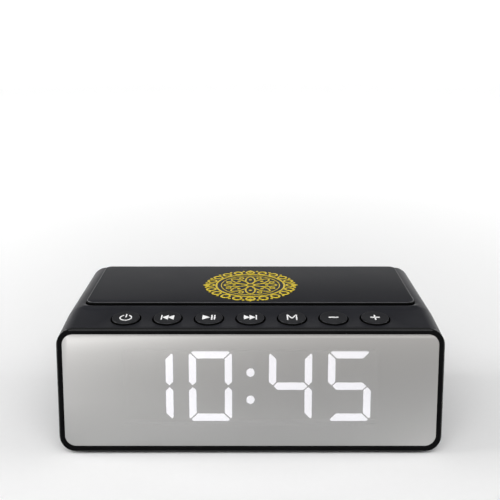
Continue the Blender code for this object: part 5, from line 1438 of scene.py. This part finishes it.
@dataclass
class Keys:
    """Seven round keys with white marks, on the sloping deck."""

    finishes: Finishes
    case: Case
    pitch: float = 17.5 * MM
    row: float = 10.1 * MM
    radius: float = 5.80 * MM
    hole_radius: float = 6.45 * MM
    hole_low: float = -6 * MM
    hole_high: float = 5 * MM
    hole_rounding: float = 0.12 * MM
    proud: float = 0.7 * MM
    edge: float = 0.40 * MM
    rounding: float = 0.32 * MM
    depth: float = 3.3 * MM
    dish: float = 0.12 * MM
    dish_step: float = 1.6 * MM
    sides: int = 80
    stem_radius: float = 1.8 * MM
    stem_length: float = 2.2 * MM
    ear_low: Point = (-7.4 * MM, -1.5 * MM, -3.1 * MM)
    ear_high: Point = (7.4 * MM, 1.5 * MM, -2.3 * MM)
    ink: float = 0.03 * MM
    wedge_tip: float = 0.02
    ring_radii: tuple[float, float] = (2.15 * MM, 2.65 * MM)
    ring_drop: float = 0.35 * MM
    ring_half_gap: float = 1.05 * MM

    @property
    def tilt(self) -> float:
        """Slope of the deck."""
        case = self.case
        return math.atan2(case.lip_top - case.front_top, case.lip - case.rim_back)

    def frame(self, i: int) -> Matrix:
        """Frame of a key: its origin on the deck and its Z axis square to it.

        Args:
            i: Number of the key, from 0 at the left.

        Returns:
            The frame.
        """
        x = (i - 3) * self.pitch
        place = Matrix.Translation((x, self.case.front + self.row, self.case.top_at(self.row)))
        return place @ Matrix.Rotation(self.tilt, 4, "X")

    def hole_tool(self) -> Workpiece:
        """Seven cylinders that cut the keyholes.

        Returns:
            The tool, which is used up by the cut.
        """
        ends = (self.hole_low, self.hole_high)
        tools = [
            Workpiece.rod(f"hole_{i}", self.frame(i), self.hole_radius, *ends, self.sides)
            for i in range(len(Icon))
        ]
        return tools[0].gather(tools[1:])

    def soften_holes(self, shell: Workpiece) -> None:
        """Rounds the rims of the keyholes in the shell.

        Args:
            shell: The upper shell.
        """
        inverse = [self.frame(i).inverted() for i in range(len(Icon))]
        slack = 5 * HAIR

        def on_rim(vertex: bmesh.types.BMVert) -> bool:
            """Whether a point lies on the sharp rim of a keyhole."""
            spots = [frame @ vertex.co for frame in inverse]
            return any(near(s.z, 0, slack) and near(off_axis(s), self.hole_radius, slack) for s in spots)

        shell.pick(Part.EDGE, lambda e: all(on_rim(v) for v in e.verts))
        shell.bevel(self.hole_rounding, 3)

    def in_hole(self, spot: Vector) -> bool:
        """Whether a point lies on the wall of a keyhole, below its rounded rim.

        Args:
            spot: Middle of a face of the shell.

        Returns:
            True for faces that get the dark finish.
        """
        below = -0.6 * self.hole_rounding
        spots = [self.frame(i).inverted() @ spot for i in range(len(Icon))]
        return any(off_axis(s) < self.hole_radius + HAIR and s.z < below for s in spots)

    def build_cap(self, i: int, icon: Icon) -> None:
        """Makes one cap with a slight dish, a round edge, ears and a stem.

        Args:
            i: Number of the key, from 0 at the left.
            icon: Its mark.
        """
        here = self.frame(i)
        ends = (-self.depth, self.proud)
        cap = Workpiece.rod(f"cap_{icon.value}", ORIGIN, self.radius, *ends, self.sides)
        cap.pick(Part.FACE, lambda f: all(near(v.co.z, self.proud) for v in f.verts))
        cap.inset(self.edge)
        cap.inset(self.dish_step)
        cap.inset(self.dish_step)
        for step in (0.5, 1.5):
            reach = self.radius - self.edge - step * self.dish_step
            cap.pick(Part.VERTEX, lambda v: v.co.z > 0 and off_axis(v.co) < reach)
            cap.shift((0, 0, -self.dish / 2))
        cap.pick(Part.EDGE, lambda e: all(near(off_axis(v.co), self.radius) and v.co.z > 0 for v in e.verts))
        cap.bevel(self.rounding, 5)
        cap.pick(Part.FACE, lambda f: all(near(v.co.z, -self.depth) for v in f.verts))
        cap.inset(self.radius - self.stem_radius)
        cap.extrude((0, 0, -self.stem_length))
        cap.combine(Workpiece.block("ears", self.ear_low, self.ear_high), Join.FUSE)
        piece = cap.finish()
        self.finishes.dress(piece, "key_cap")
        # Painted shade: the cap's side below its rounding gets the near-black dull finish, so that the gap
        # round the cap reads dark.
        side_top = self.proud - self.rounding + 2 * HAIR
        cap.paint(self.finishes, "painted_shade_black", lambda spot, way: spot.z < side_top)
        cap.place(here)
        mount(piece, f"{icon.value}_key", [f"button_{icon.value}"])
        mark = self.build_mark(icon)
        mark.place(here)
        piece = mark.finish()
        self.finishes.dress(piece, "white_ink")
        mount(piece, f"{icon.value}_key")

    @property
    def ink_ends(self) -> tuple[float, float]:
        """Heights between which the ink lies, from inside the cap to just above it."""
        return self.proud - self.dish - self.ink, self.proud + self.ink

    def ink_block(self, name: str, width: float, length: float) -> Workpiece:
        """Block of ink about the middle of the cap."""
        low, high = self.ink_ends
        return Workpiece.block(name, (-width / 2, -length / 2, low), (width / 2, length / 2, high))

    def plate(self, bar: Bar) -> Workpiece:
        """Flat bar of ink on the cap.

        Args:
            bar: The bar's place and size.

        Returns:
            The bar.
        """
        turn = Matrix.Rotation(math.radians(bar.turn), 4, "Z")
        plate = self.ink_block("bar", bar.width, bar.length)
        return plate.place(Matrix.Translation((bar.x, bar.u, 0)) @ turn)

    def wedge(self, wedge: Wedge) -> Workpiece:
        """Triangle of ink on the cap.

        Args:
            wedge: The triangle's place and size.

        Returns:
            The triangle.
        """
        piece = self.ink_block("wedge", wedge.reach, wedge.height)
        piece.pick(Part.VERTEX, lambda v: v.co.x * wedge.way > 0)
        bpy.ops.transform.resize(value=(1, self.wedge_tip, 1), center_override=(0, 0, 0))
        return piece.place(Matrix.Translation((wedge.x, 0, 0)))

    def power_ring(self) -> Workpiece:
        """Open ring of the power key's mark.

        Returns:
            The ring.
        """
        low, high = self.ink_ends
        inner, outer = self.ring_radii
        ring = Workpiece.rod("ring", ORIGIN, outer, low, high, 60)
        ring.combine(Workpiece.rod("inside", ORIGIN, inner, low - MM, high + MM, 60), Join.CUT)
        corner = (self.ring_half_gap, 2 * outer, high + MM)
        ring.combine(Workpiece.block("gap", (-self.ring_half_gap, 0, low - MM), corner), Join.CUT)
        return ring.place(Matrix.Translation((0, -self.ring_drop, 0)))

    def build_mark(self, icon: Icon) -> Workpiece:
        """Makes the mark of a key at the middle of its frame.

        Args:
            icon: The key's mark.

        Returns:
            The mark, still without its finish.
        """
        shapes = [self.power_ring()] if icon is Icon.POWER else []
        for stroke in MARKS[icon]:
            shapes.append(self.plate(stroke) if isinstance(stroke, Bar) else self.wedge(stroke))
        mark = shapes[0].gather(shapes[1:]) if shapes[1:] else shapes[0]
        mark.piece.name = mark.piece.data.name = f"mark_{icon.value}"
        return mark

    def build(self) -> None:
        """Makes all the keys."""
        for i, icon in enumerate(Icon):
            self.build_cap(i, icon)


# --------------------------------------------------------------- panel and badge


@dataclass
class TopPanel:
    """Charcoal panel in the recess of the top."""

    finishes: Finishes
    front_radius: float = 4.2 * MM
    back_radius: float = 3.0 * MM
    edge: float = 0.45 * MM

    def build(self) -> None:
        """Makes the panel."""
        low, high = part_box("top_panel")
        panel = Workpiece.block("charcoal_panel", low, high)
        round_upright(panel, self.front_radius, lambda v: v.co.y < 0)
        round_upright(panel, self.back_radius, lambda v: near(v.co.y, high[1]))
        panel.pick(Part.EDGE, lambda e: all(near(v.co.z, high[2]) for v in e.verts))
        panel.bevel(self.edge, 4)
        piece = panel.finish()
        self.finishes.dress(piece, "charcoal_panel")
        panel.paint(self.finishes, "panel_edge", lambda spot, way: 0.1 <= way.z < 0.999)
        # Painted shade: the panel's upright walls get the near-black dull finish.
        panel.paint(self.finishes, "painted_shade_black", lambda spot, way: abs(way.z) < 0.1)
        mount(piece, ROOT_BODY, ["top_panel"])


@dataclass
class Badge:
    """Round gold badge: a border of laced loops, a fine ring and a rosette over dark enamel."""

    finishes: Finishes
    radius: float = 22.1 * MM
    loops: int = 20
    loop_circle: float = 18.9 * MM
    loop_oval: Sequence[float] = (2.0 * MM, 1.85 * MM)
    loop_band: float = 0.50 * MM
    band_circle: float = 15.9 * MM
    band: float = 0.5 * MM
    inner_ring: float = 13.6 * MM
    petals: int = 8
    petal_circle: float = 7.0 * MM
    petal_oval: Sequence[float] = (5.2 * MM, 2.15 * MM)
    petal_band: float = 0.42 * MM
    bead_radius: float = 0.62 * MM
    bead_circle: float = 20.8 * MM
    tip_radius: float = 1.7 * MM
    fine_band: float = 0.26 * MM
    eye_circle: float = 10.9 * MM
    eye_oval: Sequence[float] = (1.15 * MM, 0.95 * MM)
    eye_band: float = 0.36 * MM
    dot_circle: float = 7.6 * MM
    dot_radius: float = 0.8 * MM
    heart_radius: float = 1.9 * MM
    heart_band: float = 0.4 * MM
    sunk: float = 0.04 * MM

    def build(self) -> None:
        """Makes the badge's enamel and its gold."""
        low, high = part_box("medallion")
        panel_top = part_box("top_panel")[1][2]
        centre = Matrix.Translation((*middle(low, high)[:2], panel_top))
        rise = high[2] - panel_top
        ground = Workpiece.rod("badge_enamel_disc", centre, self.loop_circle, -0.05 * MM, rise * 0.3, 96)
        piece = ground.finish()
        self.finishes.dress(piece, "badge_enamel")
        mount(piece, ROOT_BODY)

        border = self.build_border(rise)
        border.gather([self.build_rosette(rise)])
        border.place(centre)
        piece = border.finish(angle=60)
        piece.name = "gold_badge"
        self.finishes.dress(piece, "gold")
        mount(piece, ROOT_BODY, ["medallion"])

    def build_border(self, rise: float) -> Workpiece:
        """Band, loops, beads and four pointed tips about the origin.

        Args:
            rise: Height of the gold over the panel.

        Returns:
            The border.
        """
        circle = (self.band_circle, self.band_circle)
        border = Workpiece.hoop("band", ORIGIN, circle, self.band, rise, 120)
        here = Matrix.Translation((self.loop_circle, 0, 0))
        loop = Workpiece.hoop("loop", here, self.loop_oval, self.loop_band, rise * 0.97, 24)
        loop.spin(self.loops, (0, 0, 0))
        between = Matrix.Rotation(math.pi / self.loops, 4, "Z")
        here = between @ Matrix.Translation((self.bead_circle, 0, 0))
        bead = Workpiece.rod("bead", here, self.bead_radius, -self.sunk, rise * 0.85, 14)
        bead.spin(self.loops, (0, 0, 0))
        here = Matrix.Translation((self.radius - self.tip_radius, 0, 0))
        tip = Workpiece.rod("tip", here, self.tip_radius, -0.75 * self.sunk, rise * 0.9, 4)
        tip.spin(4, (0, 0, 0))
        return border.gather([loop, bead, tip])

    def build_rosette(self, rise: float) -> Workpiece:
        """Fine ring, petals, eyes, dots and heart about the origin.

        Args:
            rise: Height of the gold over the panel.

        Returns:
            The rosette.
        """
        circle = (self.inner_ring, self.inner_ring)
        ring = Workpiece.hoop("ring", ORIGIN, circle, self.fine_band, rise * 0.8, 96)
        here = Matrix.Translation((self.petal_circle, 0, 0))
        petal = Workpiece.hoop("petal", here, self.petal_oval, self.petal_band, rise * 0.93, 36)
        petal.spin(self.petals, (0, 0, 0))
        between = Matrix.Rotation(math.pi / self.petals, 4, "Z")
        here = between @ Matrix.Translation((self.eye_circle, 0, 0))
        eye = Workpiece.hoop("eye", here, self.eye_oval, self.eye_band, rise * 0.9, 20)
        eye.spin(self.petals, (0, 0, 0))
        here = Matrix.Translation((self.dot_circle, 0, 0))
        dot = Workpiece.rod("dot", here, self.dot_radius, -self.sunk, rise * 0.8, 16)
        dot.spin(self.petals, (0, 0, 0))
        circle = (self.heart_radius, self.heart_radius)
        heart = Workpiece.hoop("heart", ORIGIN, circle, self.heart_band, rise, 32)
        return ring.gather([petal, eye, dot, heart])


# ------------------------------------------------------------- rear and underside


@dataclass
class Fasteners:
    """Screws and feet that show at the rear and below."""

    finishes: Finishes
    head_radius: float = 2.4 * MM
    head_height: float = 1.4 * MM
    cross: float = 0.65 * MM
    shank_radius: float = 1.2 * MM
    shank_length: float = 9.9 * MM
    foot_edge: float = 0.4 * MM
    foot_border: float = 1.2 * MM
    foot_hollow: float = 0.2 * MM

    def build_screw(self, name: str, node: str, place: Matrix) -> None:
        """Makes a domed cross-recessed screw.

        Args:
            name: Name of the piece.
            node: The CAD node that it stands for.
            place: Frame whose origin is under the head and whose Z axis runs up the shank.
        """
        screw = Workpiece.rod(name, ORIGIN, self.head_radius, -self.head_height, 0, 40)
        screw.pick(Part.EDGE, lambda e: all(near(v.co.z, -self.head_height) for v in e.verts))
        screw.bevel(self.head_height * 0.55, 6)
        long, half = self.head_radius * 0.55, self.cross / 2
        below, floor = -2 * self.head_height, -0.35 * self.head_height
        for turn in (0, math.pi / 2):
            bar = Workpiece.block("bar", (-long, -half, below), (long, half, floor))
            screw.combine(bar.place(Matrix.Rotation(turn, 4, "Z")), Join.CUT)
        shank = Workpiece.rod("shank", ORIGIN, self.shank_radius, -0.2 * MM, self.shank_length, 20)
        screw.combine(shank, Join.FUSE)
        screw.place(place)
        piece = screw.finish()
        self.finishes.dress(piece, "zinc_steel")
        mount(piece, ROOT_BODY, [node])

    def build_foot(self, i: int) -> None:
        """Makes one rubber foot with a soft edge and a shallow ring.

        Args:
            i: Number of the foot, from 1.
        """
        node = f"rubber_foot_{i}"
        low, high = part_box(node)
        radius = (high[0] - low[0]) / 2
        place = Matrix.Translation((*middle(low, high)[:2], 0))
        foot = Workpiece.rod(f"foot_{i}", place, radius, low[2], high[2], 64)
        foot.pick(Part.EDGE, lambda e: all(near(v.co.z, low[2]) for v in e.verts))
        foot.bevel(self.foot_edge, 4)
        foot.pick(Part.FACE, lambda f: all(near(v.co.z, low[2]) for v in f.verts))
        foot.inset(self.foot_border)
        foot.inset(self.foot_edge)
        foot.shift((0, 0, self.foot_hollow))
        piece = foot.finish()
        self.finishes.dress(piece, "black_rubber")
        mount(piece, ROOT_BODY, [node])

    def build(self) -> None:
        """Makes the screws of the rear and the base, and the feet."""
        inwards = Matrix.Rotation(math.pi / 2, 4, "X")
        for i in range(1, 5):
            low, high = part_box(f"rear_panel_screw_{i}")
            x, _, z = middle(low, high)
            place = Matrix.Translation((x, high[1] - self.head_height, z)) @ inwards
            self.build_screw(f"rear_screw_{i}", f"rear_panel_screw_{i}", place)
            low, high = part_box(f"base_screw_{i}")
            x, y, _ = middle(low, high)
            place = Matrix.Translation((x, y, low[2] + self.head_height))
            self.build_screw(f"under_screw_{i}", f"base_screw_{i}", place)
            self.build_foot(i)


@dataclass
class Inside:
    """Finishes of the CAD nodes that keep their own shape."""

    finishes: Finishes
    by_node: dict[str, str] = field(
        default_factory=lambda: {
            "rear_panel": "satin_case",
            "speaker_grille": "satin_case",
            "lens_tape": "tape",
            "panel_tape": "tape",
            "display_housing": "matt_module",
            "display_board": "green_board",
            "key_board": "green_board",
            "main_board": "green_board",
            "usb_c_socket": "zinc_steel",
            "usb_c_tongue": "black_nylon",
            "aux_jack": "black_nylon",
            "card_slot": "zinc_steel",
            "battery_cell": "shrink_wrap",
            "speaker_basket": "ferrite",
            "speaker_magnet": "ferrite",
            "speaker_cone": "cone_paper",
            "speaker_dust_cap": "cone_paper",
            "speaker_surround": "black_rubber",
            "speaker_gasket": "black_rubber",
            "voice_coil": "copper_wire",
            "battery_lead": "red_insulation",
            "speaker_lead": "red_insulation",
            "display_ribbon": "ribbon_film",
            "key_ribbon": "ribbon_film",
        }
    )

    def build(self) -> None:
        """Dresses every node that is still shown."""
        for node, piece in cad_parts.items():
            if piece.hide_render:
                continue
            name = self.by_node.get(node, "zinc_steel")
            self.finishes.dress_node(node, name)
            LOG.info("%s keeps its solid, in %s", node, name)


# ---------------------------------------------------------------------- studio


@dataclass(frozen=True)
class SoftLight:
    """Soft oblong light that faces a point, and how bright its face looks."""

    name: str
    place: Point
    aim: Point
    size: tuple[float, float]
    radiance: float

    def build(self) -> None:
        """Adds the light."""
        clear_selection()
        bpy.ops.object.light_add(type="AREA", location=self.place)
        lamp = bpy.context.object
        lamp.name = self.name
        lamp.data.shape = "RECTANGLE"
        lamp.data.size, lamp.data.size_y = self.size
        lamp.data.energy = self.radiance * math.pi * self.size[0] * self.size[1]
        way = Vector(self.place) - Vector(self.aim)
        lamp.rotation_euler = way.to_track_quat("Z", "Y").to_euler()


@dataclass
class Studio:
    """Pale floor and backdrop with a painted glow, soft lights and the camera."""

    camera_place: Point = (-0.0002, -0.34656, 0.17665)
    camera_pitch: float = 8.68
    lens: float = 56.60
    shift: float = -0.2032
    floor_radius: float = 3.0
    backdrop_height: float = 0.36
    lights: Sequence[SoftLight] = (
        SoftLight("overhead", (0, -1.0, 1.25), (0, -0.05, 0), (1.8, 1.0), 3.6),
        SoftLight("left", (-0.95, -0.05, 0.45), (0, 0, 0.04), (0.5, 0.9), 4.0),
        SoftLight("right", (0.95, -0.05, 0.45), (0, 0, 0.04), (0.5, 0.9), 2.2),
    )
    room: Sequence[tuple[float, float]] = (
        (0.08, 1.0), (0.27, 0.26), (0.50, 0.18), (0.72, 0.07), (1.0, 0.10)
    )
    # Painted light: strength of the floor's glow, and the distances from the clock at which it starts and
    # reaches full strength.
    painted_floor_glow: float = 0.75
    painted_glow_start: float = 0.08
    painted_glow_full: float = 0.8

    def build_floor(self) -> None:
        """Makes a round floor whose rim curves up into a low backdrop on every side, with a painted glow
        that grows from nothing near the clock to full strength further out.
        """
        floor = Workpiece.rod("floor", ORIGIN, self.floor_radius, -0.02, 0, 96)
        floor.pick(Part.FACE, lambda f: f.normal.z < 0.5)
        floor.delete()
        floor.pick(Part.EDGE, lambda e: e.is_boundary)
        bpy.ops.mesh.extrude_edges_move(TRANSFORM_OT_translate={"value": (0, 0, self.backdrop_height)})
        floor.pick(Part.EDGE, lambda e: all(near(v.co.z, 0) for v in e.verts))
        floor.bevel(self.backdrop_height * 0.8, 10)
        piece = floor.finish(60)
        bench = ShaderBench("pale_paper_painted_glow")
        fleck = bench.noise(3 * MM, 3.0)
        bench.set("Base Color", bench.mix(fleck, (0.86, 0.86, 0.86), (0.88, 0.88, 0.88)))
        bench.set("Roughness", 0.9)
        bench.set("Specular IOR Level", 0.1)
        # Painted light: the floor emits light that rises with distance from the clock, from none near it to
        # full further out.
        far = bench.node("ShaderNodeVectorMath", {"operation": "LENGTH"}, {0: bench.place()})
        painted_floor_glow = bench.spread(Signal(bench, far.outputs["Value"]), self.painted_glow_start, self.painted_glow_full)
        bench.set("Emission Color", bench.mix(painted_floor_glow, (0, 0, 0), (1, 1, 1)))
        bench.set("Emission Strength", self.painted_floor_glow)
        piece.data.materials.append(bench.material)

    def build_camera(self) -> None:
        """Adds the camera at the photograph's place."""
        clear_selection()
        turn = (math.radians(90 - self.camera_pitch), 0, 0)
        bpy.ops.object.camera_add(location=self.camera_place, rotation=turn)
        camera = bpy.context.object
        camera.data.lens = self.lens
        camera.data.sensor_width = 36
        camera.data.shift_y = self.shift
        camera.data.clip_start = 0.01
        camera.data.dof.use_dof = False
        bpy.context.scene.camera = camera

    def build_room(self) -> None:
        """Surrounds the clock with a room that is brightest low down."""
        world = bpy.data.worlds.new("soft_room")
        bpy.context.scene.world = world
        world.use_nodes = True
        nodes, links = world.node_tree.nodes, world.node_tree.links
        way = nodes.new("ShaderNodeTexCoord")
        split = nodes.new("ShaderNodeSeparateXYZ")
        ramp = nodes.new("ShaderNodeValToRGB")
        for _ in self.room[2:]:
            ramp.color_ramp.elements.new(0.5)
        for stop, (height, tone) in zip(ramp.color_ramp.elements, self.room):
            stop.position, stop.color = height, (tone, tone, tone, 1)
        links.new(way.outputs["Generated"], split.inputs[0])
        links.new(split.outputs["Z"], ramp.inputs[0])
        links.new(ramp.outputs[0], nodes["Background"].inputs[0])

    def build(self) -> None:
        """Makes the whole studio."""
        self.build_floor()
        for light in self.lights:
            light.build()
        self.build_camera()
        self.build_room()
        bpy.context.scene.view_settings.view_transform = "Standard"


def main() -> None:
    """Builds the whole scene, one sub-assembly after another."""
    logging.basicConfig(level=logging.INFO, format="%(name)s: %(message)s")
    finishes = Finishes()
    case = Case(finishes)
    keys = Keys(finishes, case)
    case.build(keys)
    Front(finishes, case).build()
    keys.build()
    TopPanel(finishes).build()
    Badge(finishes).build()
    Fasteners(finishes).build()
    Inside(finishes).build()
    Studio().build()
    clear_selection()


if __name__ == "__main__":
    main()
